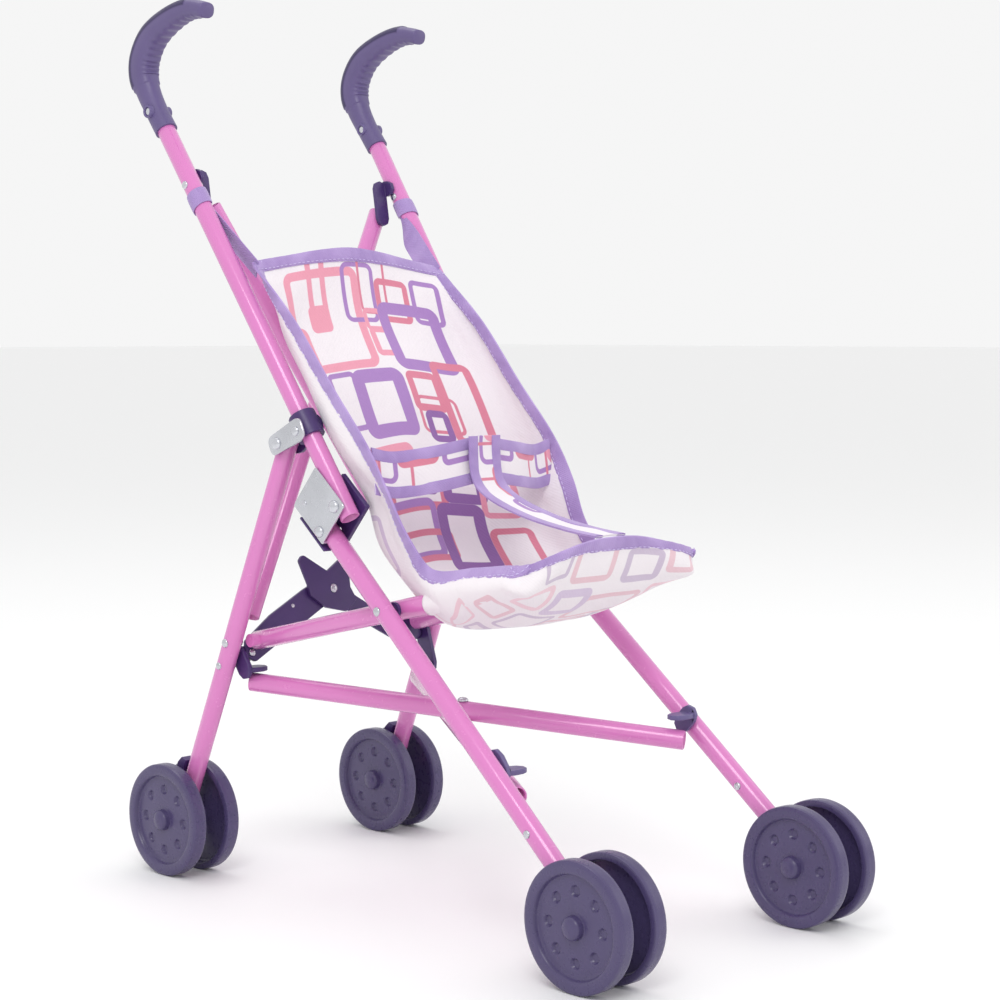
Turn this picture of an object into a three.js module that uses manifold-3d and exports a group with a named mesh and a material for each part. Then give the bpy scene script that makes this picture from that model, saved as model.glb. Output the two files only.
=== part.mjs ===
// Doll stroller with an umbrella fold: two tube side frames joined by a crossed pair of bars at the back,
// a crossed pair underneath and a toggle brace, four twin wheels and a sling seat with a harness.
// Millimetres. +X is the stroller's right, -Y is the way it faces, +Z is up, z = 0 is the floor.
import * as THREE from "three";
import { mergeVertices } from "three/addons/utils/BufferGeometryUtils.js";
import Module from "manifold-3d";

const wasm = await Module();
wasm.setup();

// ---- driving dimensions ----
const GAP = 0.3; // between pieces that touch
const TUBE_R = 6;
const TUBE_WALL = 1;
const TUBE_SIDES = 14;
const RIVET_R = 2;
const HOLE_SIDES = 10;

// Side view of one frame, as (y, z).
const FRONT_AXLE = [-185.3, 36];
const REAR_AXLE = [178.7, 36];
const KNEE = [29.2, 245.4];
const HANDLE = [189.3, 476.5]; // where the grip's socket starts
const LEG_PIVOT = [77.4, 281.4]; // rear leg on its collar
const RAIL_REAR = [128.7, 153.5];
const RAIL_TIP = [-107.3, 208.6];
const BACK_TOP = [168.7, 426]; // crossed back bars
const BACK_LOW = [125.7, 166];
const UNDER_REAR = [126.7, 127]; // crossed lower bars
const UNDER_FRONT = [-103.3, 102];
const BRACE_END = [131.7, 145.4]; // toggle brace
const BRACE_TOP = [139.3, 179.6];

// Half widths of the frame, from the middle plane.
const HALF_KNEE = 81;
const HALF_HANDLE = 90;
const HALF_LEG_PIVOT = 84;
const HALF_FRONT_WHEEL = 93.5;
const HALF_REAR_WHEEL = 90.6;
const HALF_RAIL = 69;
const HALF_BACK_TOP = 76;
const HALF_BACK_LOW = 72;
const HALF_UNDER = 70.5;
const HALF_BRACE = 72.5;

const LEG_OFFSET = 20.8; // front leg's axis below the knee's pivot
const LEG_PAST_RIVET = 15;
const TUBE_PAST_KNEE = 8.5;
const PLATE_T = 1.5;
const LUG_T = 3;
const BAR_LAYER = 7.8; // back bars' axes either side of the lugs
const BAR_STEP = 13; // lower bars' axes, one over the other
const REAR_SHELF_CLEAR = 1.5; // a shelf over the bar it holds
const FRONT_SHELF_CLEAR = 6.5; // the bar's front end leaves its path a little as the frame folds
const BAR_PAST = 4; // a bar's end past its rivet

const WHEEL_R = 36;
const WHEEL_T = 9.6;
const WHEEL_FACE = 17.8; // outer face from the middle of its pair
const WHEEL_SEGMENTS = 20;

const FABRIC_T = 2.4;

// ---- materials ----
const paint = (name, color, roughness, metalness) =>
  new THREE.MeshStandardMaterial({ name, color, roughness, metalness });
const PINK = paint("pink_enamel", 0xe87dcd, 0.32, 0.1);
const PURPLE = paint("purple_plastic", 0x5a4e78, 0.45, 0);
const DARK = paint("dark_purple_plastic", 0x4a3a66, 0.5, 0);
const STEEL = paint("zinc_steel", 0xb9bcc4, 0.3, 1);
const CLOTH = paint("printed_fabric", 0xf7f0f6, 0.9, 0);
const TAPE = paint("lavender_tape", 0xb9a0dc, 0.85, 0);

// ---- geometry helpers ----
const at = (x, [y, z]) => new THREE.Vector3(x, y, z);
const X_AXIS = new THREE.Vector3(1, 0, 0);

function solidOf(geometry) {
  const bare = geometry.clone();
  bare.deleteAttribute("normal");
  bare.deleteAttribute("uv");
  const merged = mergeVertices(bare, 1e-3);
  return new wasm.Manifold(
    new wasm.Mesh({
      numProp: 3,
      vertProperties: merged.attributes.position.array,
      triVerts: new Uint32Array(merged.index.array),
    }),
  );
}

function geometryOf(solid) {
  const mesh = solid.getMesh();
  const geometry = new THREE.BufferGeometry();
  geometry.setAttribute("position", new THREE.BufferAttribute(mesh.vertProperties, 3));
  geometry.setIndex(new THREE.BufferAttribute(mesh.triVerts, 1));
  return geometry;
}

const join = (first, ...more) =>
  geometryOf(more.reduce((sum, next) => sum.add(solidOf(next)), solidOf(first)));

const cut = (first, ...more) =>
  geometryOf(more.reduce((rest, next) => rest.subtract(solidOf(next)), solidOf(first)));

// Puts a shape that was made along +Y from the origin between two points.
function between(geometry, from, to) {
  const along = to.clone().sub(from).normalize();
  const turn = new THREE.Quaternion().setFromUnitVectors(new THREE.Vector3(0, 1, 0), along);
  return geometry.applyMatrix4(new THREE.Matrix4().compose(from, turn, new THREE.Vector3(1, 1, 1)));
}

// A lathe profile of [radius, height] points that closes on itself.
function turned(profile, segments) {
  const points = [...profile, profile[0]].map(([r, h]) => new THREE.Vector2(r, h));
  return new THREE.LatheGeometry(points, segments);
}

function tube(from, to, wall = TUBE_WALL, radius = TUBE_R) {
  const length = from.distanceTo(to);
  const inner = radius - wall;
  const profile = [[inner, 0], [radius, 0], [radius, length], [inner, length]];
  return between(turned(profile, TUBE_SIDES), from, to);
}

function pin(from, to, radius = RIVET_R, sides = 8) {
  const length = from.distanceTo(to);
  return between(new THREE.CylinderGeometry(radius, radius, length, sides).translate(0, length / 2, 0), from, to);
}

// A domed rivet head that stands on a face at `foot` and points along `out`.
function head(foot, out, radius = 4.2, height = 2) {
  const profile = [[0, -0.4], [radius, -0.4], [radius, 0.3], [radius * 0.7, height * 0.8], [0, height]];
  const points = profile.map(([r, h]) => new THREE.Vector2(r, h));
  return between(new THREE.LatheGeometry(points, 8), foot, foot.clone().add(out));
}

// A flat piece: an outline of [u, v] points, thickness `t` from `origin` along u x v.
function slab(outline, t, origin, u, v, holes = []) {
  const shape = new THREE.Shape(outline.map(([a, b]) => new THREE.Vector2(a, b)));
  for (const [a, b, r] of holes) {
    const rim = Array.from({ length: HOLE_SIDES }, (_, i) => (2 * Math.PI * i) / HOLE_SIDES);
    const points = rim.map((angle) => new THREE.Vector2(a + r * Math.cos(angle), b + r * Math.sin(angle)));
    shape.holes.push(new THREE.Path(points));
  }
  const geometry = new THREE.ExtrudeGeometry(shape, { depth: t, bevelEnabled: false });
  const frame = new THREE.Matrix4().makeBasis(u, v, new THREE.Vector3().crossVectors(u, v));
  return geometry.applyMatrix4(frame.setPosition(origin));
}

// The outline of a strip with round ends, radius r, from a to b.
function capsule([ax, ay], [bx, by], r, steps = 4) {
  const turnTo = Math.atan2(by - ay, bx - ax);
  const arc = (cx, cy, start) =>
    Array.from({ length: steps + 1 }, (_, i) => {
      const angle = start + (Math.PI * i) / steps;
      return [cx + r * Math.cos(angle), cy + r * Math.sin(angle)];
    });
  return [...arc(bx, by, turnTo - Math.PI / 2), ...arc(ax, ay, turnTo + Math.PI / 2)];
}

// A side-view outline of (y, z) points, from x = low to x = high.
const Y_AXIS = new THREE.Vector3(0, 1, 0);
const Z_AXIS = new THREE.Vector3(0, 0, 1);
const profileSlab = (outline, low, high, holes = []) =>
  slab(outline, high - low, new THREE.Vector3(low, 0, 0), Y_AXIS, Z_AXIS, holes);

const lerp = (a, b, t) => a + (b - a) * t;
const mix = (a, b, t) => [lerp(a[0], b[0], t), lerp(a[1], b[1], t)];
const length2 = (a, b) => Math.hypot(b[0] - a[0], b[1] - a[1]);

// ---- lines of the side frame ----
const handleDir = [HANDLE[0] - KNEE[0], HANDLE[1] - KNEE[1]].map((c) => c / length2(KNEE, HANDLE));
const alongHandle = (s) => [KNEE[0] + handleDir[0] * s, KNEE[1] + handleDir[1] * s];
const handleHalf = (s) => lerp(HALF_KNEE, HALF_HANDLE, s / length2(KNEE, HANDLE));

// The front leg's axis touches a circle of radius LEG_OFFSET round the knee's pivot.
const legReach = length2(KNEE, FRONT_AXLE);
const legTurn = Math.atan2(FRONT_AXLE[1] - KNEE[1], FRONT_AXLE[0] - KNEE[0]);
const legAngle = legTurn - Math.asin(LEG_OFFSET / legReach);
const legDir = [Math.cos(legAngle), Math.sin(legAngle)];
const legSide = [-legDir[1], legDir[0]];
const legRivet = [KNEE[0] + legSide[0] * LEG_OFFSET, KNEE[1] + legSide[1] * LEG_OFFSET];
const legLength = length2(legRivet, FRONT_AXLE);
const alongLeg = (s) => [legRivet[0] + legDir[0] * s, legRivet[1] + legDir[1] * s];
const legHalf = (s) => lerp(HALF_KNEE, HALF_FRONT_WHEEL, s / legLength);

const rearDir = [REAR_AXLE[0] - LEG_PIVOT[0], REAR_AXLE[1] - LEG_PIVOT[1]].map(
  (c) => c / length2(LEG_PIVOT, REAR_AXLE),
);
const rearLength = length2(LEG_PIVOT, REAR_AXLE);
const alongRear = (s) => [LEG_PIVOT[0] + rearDir[0] * s, LEG_PIVOT[1] + rearDir[1] * s];
const rearHalf = (s) => lerp(HALF_LEG_PIVOT, HALF_REAR_WHEEL, s / rearLength);
const FRONT_SPLAY = (HALF_FRONT_WHEEL - HALF_KNEE) / legLength;
const REAR_SPLAY = (HALF_REAR_WHEEL - HALF_LEG_PIVOT) / rearLength;
const rearAtHeight = (z) => (z - LEG_PIVOT[1]) / rearDir[1];

// ---- sub-parts, each for one side: side is -1 on the left and +1 on the right ----
const span = (side, a, b) => [Math.min(side * a, side * b), Math.max(side * a, side * b)];
const outward = (side) => new THREE.Vector3(side, 0, 0);

const AXLE_R = 2;
const AXLE_TUBE_END = 13; // a leg's tube stops this far from the axle

function pushTube(side) {
  const grooveDepth = 26; // the tube's top is inside the grip
  const top = length2(KNEE, HANDLE) + grooveDepth;
  const low = at(side * handleHalf(-TUBE_PAST_KNEE), alongHandle(-TUBE_PAST_KNEE));
  const high = at(side * handleHalf(top), alongHandle(top));
  const hole = pin(at(side * (HALF_KNEE - 10), KNEE), at(side * (HALF_KNEE + 10), KNEE), RIVET_R + GAP);
  return cut(tube(low, high), hole);
}

// The hooked grip: a round section swept up the socket and over the top, bored for the tube.
const GRIP_LINE = [[189.3, 476.5], [199.7, 490], [207.7, 502], [212.7, 513], [210.7, 525], [200.7, 537.5], [181.7, 546.5], [162.7, 550.5], [145.7, 547.5]];
const GRIP_RADII = [7.3, 7.6, 8.4, 9.2, 9.2, 8.6, 7.2, 6, 4.6];

function grip(side) {
  const spine = new THREE.CatmullRomCurve3(GRIP_LINE.map((p) => at(0, p)));
  const rings = 16;
  const sides = 10;
  const positions = [];
  const index = [];
  const radiusAt = (t) => {
    const k = t * (GRIP_RADII.length - 1);
    const i = Math.min(Math.floor(k), GRIP_RADII.length - 2);
    return lerp(GRIP_RADII[i], GRIP_RADII[i + 1], k - i);
  };
  for (let i = 0; i <= rings; i++) {
    const t = i / rings;
    const centre = spine.getPoint(t);
    const along = spine.getTangent(t);
    const over = new THREE.Vector3().crossVectors(along, X_AXIS).normalize();
    for (let j = 0; j < sides; j++) {
      const angle = (2 * Math.PI * j) / sides;
      const p = centre.clone()
        .addScaledVector(X_AXIS, Math.cos(angle) * radiusAt(t))
        .addScaledVector(over, Math.sin(angle) * radiusAt(t));
      positions.push(p.x + side * HALF_HANDLE, p.y, p.z);
    }
  }
  for (let i = 0; i < rings; i++)
    for (let j = 0; j < sides; j++) {
      const a = i * sides + j;
      const b = i * sides + ((j + 1) % sides);
      index.push(a, a + sides, b, b, a + sides, b + sides);
    }
  for (let j = 1; j < sides - 1; j++) {
    index.push(0, j, j + 1);
    const last = rings * sides;
    index.push(last, last + j + 1, last + j);
  }
  const geometry = new THREE.BufferGeometry();
  geometry.setAttribute("position", new THREE.Float32BufferAttribute(positions, 3));
  geometry.setIndex(index);
  const knee = length2(KNEE, HANDLE);
  const bore = pin(
    at(side * handleHalf(knee - 4), alongHandle(knee - 4)),
    at(side * handleHalf(knee + 28), alongHandle(knee + 28)),
    TUBE_R + GAP,
    TUBE_SIDES,
  );
  const solid = solidOf(geometry);
  const whole = solid.volume() < 0 ? flipped(geometry) : geometry;
  const screw = [12, -12].map((dx) => {
    const boss = at(side * HALF_HANDLE + Math.sign(dx) * 6.4, alongHandle(knee + 17));
    return head(boss, new THREE.Vector3(Math.sign(dx), 0, 0), 3.6, 3);
  });
  return cut(join(whole, ...screw), bore);
}

function flipped(geometry) {
  const turnedRound = geometry.clone();
  const order = turnedRound.index.array;
  for (let i = 0; i < order.length; i += 3) [order[i + 1], order[i + 2]] = [order[i + 2], order[i + 1]];
  return turnedRound;
}

function frontLeg(side) {
  const low = legLength - AXLE_TUBE_END;
  const leg = tube(at(side * legHalf(-LEG_PAST_RIVET), alongLeg(-LEG_PAST_RIVET)), at(side * legHalf(low), alongLeg(low)));
  const hole = pin(at(side * (HALF_KNEE - 10), legRivet), at(side * (HALF_KNEE + 10), legRivet), RIVET_R + GAP);
  return cut(leg, hole);
}

function rearLeg(side) {
  const low = rearLength - AXLE_TUBE_END;
  const leg = tube(at(side * rearHalf(-3), alongRear(-3)), at(side * rearHalf(low), alongRear(low)));
  const hole = pin(at(side * 70, LEG_PIVOT), at(side * 100, LEG_PIVOT), RIVET_R + GAP);
  return cut(leg, hole);
}

// Steel plate on the knee's outer face, its long sides along the front leg.
const PLATE_OUTLINE = [[-28, -6.5], [6.5, -6.5], [6.5, 25.5], [-28, 25.5]];
const inLegFrame = ([a, b]) => [KNEE[0] + legDir[0] * a + legSide[0] * b, KNEE[1] + legDir[1] * a + legSide[1] * b];
const ordered = (outline) => {
  const area = outline.reduce((sum, [y, z], i) => {
    const [y2, z2] = outline[(i + 1) % outline.length];
    return sum + y * z2 - y2 * z;
  }, 0);
  return area < 0 ? [...outline].reverse() : outline;
};

const PLATE_X = HALF_KNEE + TUBE_R + 1.1;
const KNEE_HOLES = [[...KNEE, RIVET_R + GAP], [...legRivet, RIVET_R + GAP]];

function kneePlate(side) {
  const [low, high] = span(side, PLATE_X, PLATE_X + PLATE_T);
  const plate = profileSlab(ordered(PLATE_OUTLINE.map(inLegFrame)), low, high, [KNEE_HOLES[0]]);
  return join(plate, kneeRivet(side, legRivet));
}

// Moulded housing: an inner cheek and an edge wall under the leg, open where the push tube turns.
function kneeHousing(side) {
  const inner = HALF_KNEE - TUBE_R - GAP - 0.6;
  const cheek = ordered([[-20, -7.5], [9, -7.5], [9, 29], [-20, 29]].map(inLegFrame));
  const [a, b] = span(side, inner - 3, inner);
  const [c, d] = span(side, inner - 0.5, PLATE_X - GAP);
  const wall = ordered([[-20, 27.4], [9, 27.4], [9, 29], [-20, 29]].map(inLegFrame));
  return join(profileSlab(cheek, a, b, KNEE_HOLES), profileSlab(wall, c, d));
}

function crossRivet(side, point, inner, outer, holeShank = RIVET_R) {
  return join(
    pin(at(side * (inner - 0.2), point), at(side * (outer + 0.2), point), holeShank),
    head(at(side * outer, point), outward(side)),
    head(at(side * inner, point), outward(-side)),
  );
}

const kneeRivet = (side, point) =>
  crossRivet(side, point, HALF_KNEE - TUBE_R - 3.9 - 0.7, PLATE_X + PLATE_T + 0.7);

// Collar round the push tube with an inner cheek that carries the rear leg.
const COLLAR_AT = length2(KNEE, [61.7, 292]);

function collar(side) {
  const [low, high] = [COLLAR_AT - 8, COLLAR_AT + 8];
  const from = at(side * handleHalf(low), alongHandle(low));
  const to = at(side * handleHalf(high), alongHandle(high));
  const sleeve = pin(from, to, 8.6, TUBE_SIDES);
  const bore = pin(
    at(side * handleHalf(low - 5), alongHandle(low - 5)),
    at(side * handleHalf(high + 5), alongHandle(high + 5)),
    TUBE_R + GAP,
    TUBE_SIDES,
  );
  const [a, b] = span(side, HALF_LEG_PIVOT - TUBE_R - GAP - 2.6, HALF_LEG_PIVOT - TUBE_R - GAP);
  const cheek = profileSlab(ordered(capsule(alongHandle(COLLAR_AT), LEG_PIVOT, 7)), a, b);
  const hole = pin(at(side * 60, LEG_PIVOT), at(side * 110, LEG_PIVOT), RIVET_R + GAP);
  return cut(join(sleeve, cheek), bore, hole);
}

const EAR_X = HALF_LEG_PIVOT + 8.2;

function collarEar(side) {
  const [low, high] = span(side, EAR_X, EAR_X + PLATE_T);
  const plate = profileSlab(ordered(capsule(alongHandle(COLLAR_AT), LEG_PIVOT, 7.2)), low, high);
  const stud = head(at(side * (EAR_X + PLATE_T), alongHandle(COLLAR_AT + 1)), outward(side), 3.6, 1.8);
  return join(plate, stud, crossRivet(side, LEG_PIVOT, HALF_LEG_PIVOT - TUBE_R - GAP - 3.3, EAR_X + PLATE_T));
}

// Seat rail: a straight tube whose rear end is held on the rear leg by a spacer.
const railRear = mix(RAIL_REAR, RAIL_TIP, 0.03);

function seatRail(side) {
  const rail = tube(at(side * HALF_RAIL, RAIL_REAR), at(side * HALF_RAIL, RAIL_TIP));
  const inner = rearHalf(rearAtHeight(railRear[1])) - TUBE_R - GAP - 0.2;
  return join(rail, pin(at(side * (HALF_RAIL + 3), railRear), at(side * inner, railRear), 4.4, 12));
}

const railDrop = (RAIL_TIP[1] - RAIL_REAR[1]) / (RAIL_TIP[0] - RAIL_REAR[0]);
const legSlope = legDir[1] / legDir[0];
const crossY = (legRivet[1] - RAIL_REAR[1] - legSlope * legRivet[0] + railDrop * RAIL_REAR[0]) / (railDrop - legSlope);
const RAIL_CROSS = [crossY, RAIL_REAR[1] + railDrop * (crossY - RAIL_REAR[0])];
const crossAlong = length2(legRivet, RAIL_CROSS);

// Plastic spacers that keep the rail off the legs, one on each leg.
function railSpacer(side) {
  const inner = HALF_RAIL + TUBE_R + GAP;
  const outer = legHalf(crossAlong) - TUBE_R - GAP - 0.2;
  return pin(at(side * inner, RAIL_CROSS), at(side * outer, RAIL_CROSS), 5, 16);
}

// ---- crossed back bars ----
const backDir = [BACK_TOP[0] - BACK_LOW[0], BACK_TOP[1] - BACK_LOW[1]].map((c) => c / length2(BACK_LOW, BACK_TOP));
const backOut = [backDir[1], -backDir[0]]; // away from the seat
const layered = (p, dir, d) => [p[0] + dir[0] * d, p[1] + dir[1] * d];

function backBar(side) {
  // side is where the bar's top end is: the right one lies behind the left one
  const layer = side * BAR_LAYER;
  const top = at(side * HALF_BACK_TOP, layered(BACK_TOP, backOut, layer));
  const low = at(-side * HALF_BACK_LOW, layered(BACK_LOW, backOut, layer));
  const along = top.clone().sub(low).normalize();
  const past = side < 0 ? 1 : 7;
  return tube(low.addScaledVector(along, 4), top.clone().addScaledVector(along, past));
}

// A lug between the bars' ends, carried up past them to a cheek on the push tube.
const BRACKET_RISE = 21;

function topBracket(side) {
  const origin = at(0, layered(BACK_TOP, backOut, LUG_T / 2));
  const lug = capsule([side * HALF_BACK_TOP, 0], [side * HALF_BACK_TOP, BRACKET_RISE], 5);
  const top = layered(BACK_TOP, backDir, BRACKET_RISE);
  const s = (top[1] - KNEE[1]) / handleDir[1];
  const inner = handleHalf(s) - TUBE_R - GAP;
  const [a, b] = span(side, inner - 2.6, inner);
  const cheek = profileSlab(ordered(capsule(alongHandle(s), top, 5.2)), a, b);
  return join(slab(ordered(lug), LUG_T, origin, X_AXIS, at(0, backDir)), cheek);
}

// Rivet that joins the two back bars where they cross.
function backRivet() {
  const t = HALF_BACK_LOW / (HALF_BACK_LOW + HALF_BACK_TOP);
  const middle = mix(BACK_LOW, BACK_TOP, t);
  const out = at(0, backOut);
  const reach = BAR_LAYER - TUBE_R - GAP;
  return pin(at(0, layered(middle, backOut, -reach)), at(0, middle).addScaledVector(out, reach), 4, 14);
}

// ---- crossed lower bars ----
const underDrop = (side) => (side < 0 ? 0 : BAR_STEP); // the bar from the right rear leg lies lower
const underPoint = ([y, z], side) => [y, z - underDrop(side)];

function underBar(side) {
  const rear = at(side * HALF_UNDER, underPoint(UNDER_REAR, side));
  const front = at(-side * HALF_UNDER, underPoint(UNDER_FRONT, side));
  const along = front.clone().sub(rear).normalize();
  return tube(rear.clone().addScaledVector(along, -BAR_PAST), front.addScaledVector(along, BAR_PAST));
}

// The head of the rivet that joins the lower bars, on the upper one.
function underRivet() {
  const [y, z] = mix(UNDER_REAR, UNDER_FRONT, 0.5);
  return head(new THREE.Vector3(0, y, z + TUBE_R + GAP + 0.4), Z_AXIS, 4, 2.4);
}

// A bracket on a leg's inner side with a shelf over the end of a lower bar.
function shelfBracket(side, shelf, legPoint, legInner, clear) {
  const z = shelf[1] + TUBE_R + clear;
  const outline = capsule([side * (HALF_UNDER - 1), shelf[0]], [side * (legInner - 6.4), shelf[0]], 6);
  const plate = slab(ordered(outline), LUG_T, new THREE.Vector3(0, 0, z), X_AXIS, Y_AXIS);
  const [a, b] = span(side, legInner - 3, legInner);
  const cheek = profileSlab(ordered(capsule([shelf[0], z + LUG_T / 2], legPoint, 6)), a, b);
  return join(plate, cheek);
}

function frontBracket(side) {
  const s = (UNDER_FRONT[1] + 8 - legRivet[1]) / legDir[1];
  const inner = legHalf(s) - TUBE_R - GAP;
  return shelfBracket(side, underPoint(UNDER_FRONT, -side), alongLeg(s), inner, FRONT_SHELF_CLEAR);
}

// ---- toggle brace between the rear legs ----
const braceDir = [BRACE_TOP[0] - BRACE_END[0], BRACE_TOP[1] - BRACE_END[1]].map((c) => c / length2(BRACE_END, BRACE_TOP));
const braceOut = [braceDir[1], -braceDir[0]];
const BRACE_RISE = length2(BRACE_END, BRACE_TOP);
const ARM_T = 2.6;

function bracePiece(outline, layer, holes) {
  const origin = at(0, layered(BRACE_END, braceOut, layer));
  return slab(ordered(outline), ARM_T, origin, X_AXIS, at(0, braceDir), holes);
}

// The two arms lie in two layers and the lever in a third, nearest the seat.
const armLayer = (side) => (side < 0 ? 0 : ARM_T + GAP);

function braceArm(side) {
  // the right arm stops short of the rivet, so only the left one is held by it
  const reach = side < 0 ? 1 : 1 - 12 / length2([HALF_BRACE, 0], [0, BRACE_RISE]);
  const holes = side < 0 ? [[0, BRACE_RISE, RIVET_R + GAP]] : [];
  const outline = capsule([side * HALF_BRACE, 0], mix([side * HALF_BRACE, 0], [0, BRACE_RISE], reach), 5);
  return bracePiece(outline, armLayer(side), holes);
}

// The rear leg's bracket holds a lower bar under its shelf and a brace arm against its lug.
function hookBracket(side) {
  const s = rearAtHeight(BRACE_END[1]);
  const inner = rearHalf(s) - TUBE_R - GAP;
  const shelf = shelfBracket(side, underPoint(UNDER_REAR, side), alongRear(s), inner, REAR_SHELF_CLEAR);
  const lug = capsule([side * HALF_BRACE, 0], [side * (inner - 5), 0], 5);
  return join(shelf, bracePiece(lug, armLayer(side) + ARM_T + GAP, []));
}

function starLever() {
  const half = [[0, 11], [6, 14], [16, 24], [20, 22], [20, 15], [16, 5], [22, 0], [31, -8], [24, -19], [8, -9]];
  const full = [...half, ...half.slice(1).reverse().map(([x, y]) => [-x, y])];
  const outline = full.map(([x, y]) => [x, y + BRACE_RISE]);
  return bracePiece(outline, -ARM_T - GAP, [[0, BRACE_RISE, RIVET_R + GAP]]);
}

function braceRivet() {
  const front = at(0, layered(BRACE_TOP, braceOut, -2 * (ARM_T + GAP) - 0.6));
  const rear = at(0, layered(BRACE_TOP, braceOut, ARM_T + GAP + 0.6));
  const out = rear.clone().sub(front).normalize();
  return join(pin(front, rear), head(rear, out, 3.6), head(front, out.clone().negate(), 3.6));
}

// ---- wheels ----
// Half section as [radius, height from the middle], open on the inner side, dished on the outer one.
const WHEEL_BORE = AXLE_R + GAP;
const WHEEL_PROFILE = [
  [WHEEL_BORE, -4.8], [7, -4.8], [7, 0.8], [31, 0.8], [32, -4.8], [36, -4],
  [36, 4], [28.6, 4.8], [27.4, 2.8], [7, 2.8], [7, 4.8], [WHEEL_BORE, 4.8],
];

function wheel(side, axle, half, outer) {
  // outer is +1 for the wheel away from the stroller and -1 for the one beside it
  const facing = side * outer;
  const body = turned(WHEEL_PROFILE, WHEEL_SEGMENTS);
  const out = new THREE.Vector3(facing, 0, 0);
  const middle = side * half + facing * (WHEEL_FACE - WHEEL_T / 2);
  return between(body, at(middle, axle), at(middle, axle).add(out));
}

function axle(side, point, half) {
  const reach = WHEEL_FACE + 0.9;
  const from = at(side * half - reach, point);
  const to = at(side * half + reach, point);
  return join(pin(from, to, AXLE_R), head(to, X_AXIS, 4.2, 2.2), head(from, X_AXIS.clone().negate(), 4.2, 2.2));
}

// Plastic knuckle between the wheels: a boss on the axle, a stub in the leg's end and a tab up the back.
function knuckle(side, point, half, up, splay) {
  const [low, high] = span(side, half - 7.2, half + 7.2);
  const boss = pin(at(low, point), at(high, point), 8, 14);
  const stubTop = AXLE_TUBE_END + 9;
  const upLeg = (s) => at(side * (half - splay * s), [point[0] + up[0] * s, point[1] + up[1] * s]);
  const stub = pin(upLeg(0), upLeg(stubTop), TUBE_R - TUBE_WALL - GAP - 0.4, 12);
  const web = pin(upLeg(0), upLeg(AXLE_TUBE_END - GAP - 0.3), 6, 14);
  const back = up[1] > 0 ? [up[1], -up[0]] : [-up[1], up[0]];
  const local = ([a, b]) => [point[0] + up[0] * a + back[0] * b, point[1] + up[1] * a + back[1] * b];
  const fin = ordered([[0, 2], [0, 8], [20, 13], [33, 14.5], [38, 12], [38, 7.4], [10, 7.4], [8, 2]].map(local));
  const bore = pin(at(low - 5, point), at(high + 5, point), AXLE_R + GAP);
  return cut(join(boss, stub, web, profileSlab(fin, ...span(side, half - 4.5, half + 3.5))), bore);
}

// ---- soft parts ----
// Sling seat: the middle line runs from the top hem down the back and out to the front edge, and the two
// side edges run from the top corners to the rails, so each cross-section is a U.
const SLING_MIDDLE = [[116.7, 396], [104.7, 362], [88.7, 326], [72.7, 290], [58.7, 256], [44.7, 222], [28.7, 192], [4.7, 176], [-29.3, 173], [-63.3, 180], [-91.3, 198], [-105.3, 222]];
const SLING_EDGE = [[116.7, 391], [96.7, 374], [70.7, 350], [44.7, 325], [24.7, 302], [6.7, 277], [-8.3, 252], [-22.3, 230], [-37.3, 212], [-61.3, 202], [-85.3, 206], [-105.3, 211]];
const SLING_HALF = [77, 75, 73, 71, 70, 69, 67, 65, 61.5, 61.5, 61.5, 61.5];

function closedSheet(pointAt, across, along, thickness) {
  const grid = [];
  for (let i = 0; i <= along; i++) for (let j = 0; j <= across; j++) grid.push(pointAt(j / across, i / along));
  const index = [];
  const row = across + 1;
  for (let i = 0; i < along; i++)
    for (let j = 0; j < across; j++) {
      const a = i * row + j;
      index.push(a, a + 1, a + row, a + 1, a + row + 1, a + row);
    }
  const sheet = new THREE.BufferGeometry();
  sheet.setAttribute("position", new THREE.Float32BufferAttribute(grid.flatMap((p) => p.toArray()), 3));
  sheet.setIndex(index);
  sheet.computeVertexNormals();
  const normals = sheet.attributes.normal;
  const count = grid.length;
  const back = grid.map((p, i) => p.clone().addScaledVector(new THREE.Vector3().fromBufferAttribute(normals, i), -thickness));
  const faces = [...index];
  for (let i = 0; i < index.length; i += 3) faces.push(index[i] + count, index[i + 2] + count, index[i + 1] + count);
  const wall = (a, b) => faces.push(a, a + count, b, b, a + count, b + count);
  for (let j = 0; j < across; j++) {
    wall(j, j + 1);
    wall(along * row + j + 1, along * row + j);
  }
  for (let i = 0; i < along; i++) {
    wall((i + 1) * row, i * row);
    wall(i * row + across, (i + 1) * row + across);
  }
  const closed = new THREE.BufferGeometry();
  closed.setAttribute("position", new THREE.Float32BufferAttribute([...grid, ...back].flatMap((p) => p.toArray()), 3));
  closed.setIndex(faces);
  return solidOf(closed).volume() < 0 ? flipped(closed) : closed;
}

function slingPoint(u, v) {
  const middle = new THREE.CatmullRomCurve3(SLING_MIDDLE.map((p) => at(0, p))).getPoint(v);
  const edge = new THREE.CatmullRomCurve3(SLING_EDGE.map((p) => at(0, p))).getPoint(v);
  const k = v * (SLING_HALF.length - 1);
  const i = Math.min(Math.floor(k), SLING_HALF.length - 2);
  const half = lerp(SLING_HALF[i], SLING_HALF[i + 1], k - i);
  const a = 2 * u - 1;
  const turn = (Math.abs(a) * Math.PI) / 2;
  const forward = (1 - Math.cos(turn)) ** 1.5;
  const point = middle.lerp(edge, forward);
  point.x = Math.sign(a) * half * Math.sin(turn) ** 0.9;
  return point;
}

const sling = () => closedSheet(slingPoint, 12, 16, FABRIC_T);

// A flat band from one point to another: `wide` is its width direction.
function band(points, wide, width, thickness) {
  const curve = new THREE.CatmullRomCurve3(points);
  const pointAt = (u, v) => curve.getPoint(v).addScaledVector(wide, (u - 0.5) * width);
  return closedSheet(pointAt, 1, 8, thickness);
}

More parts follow.
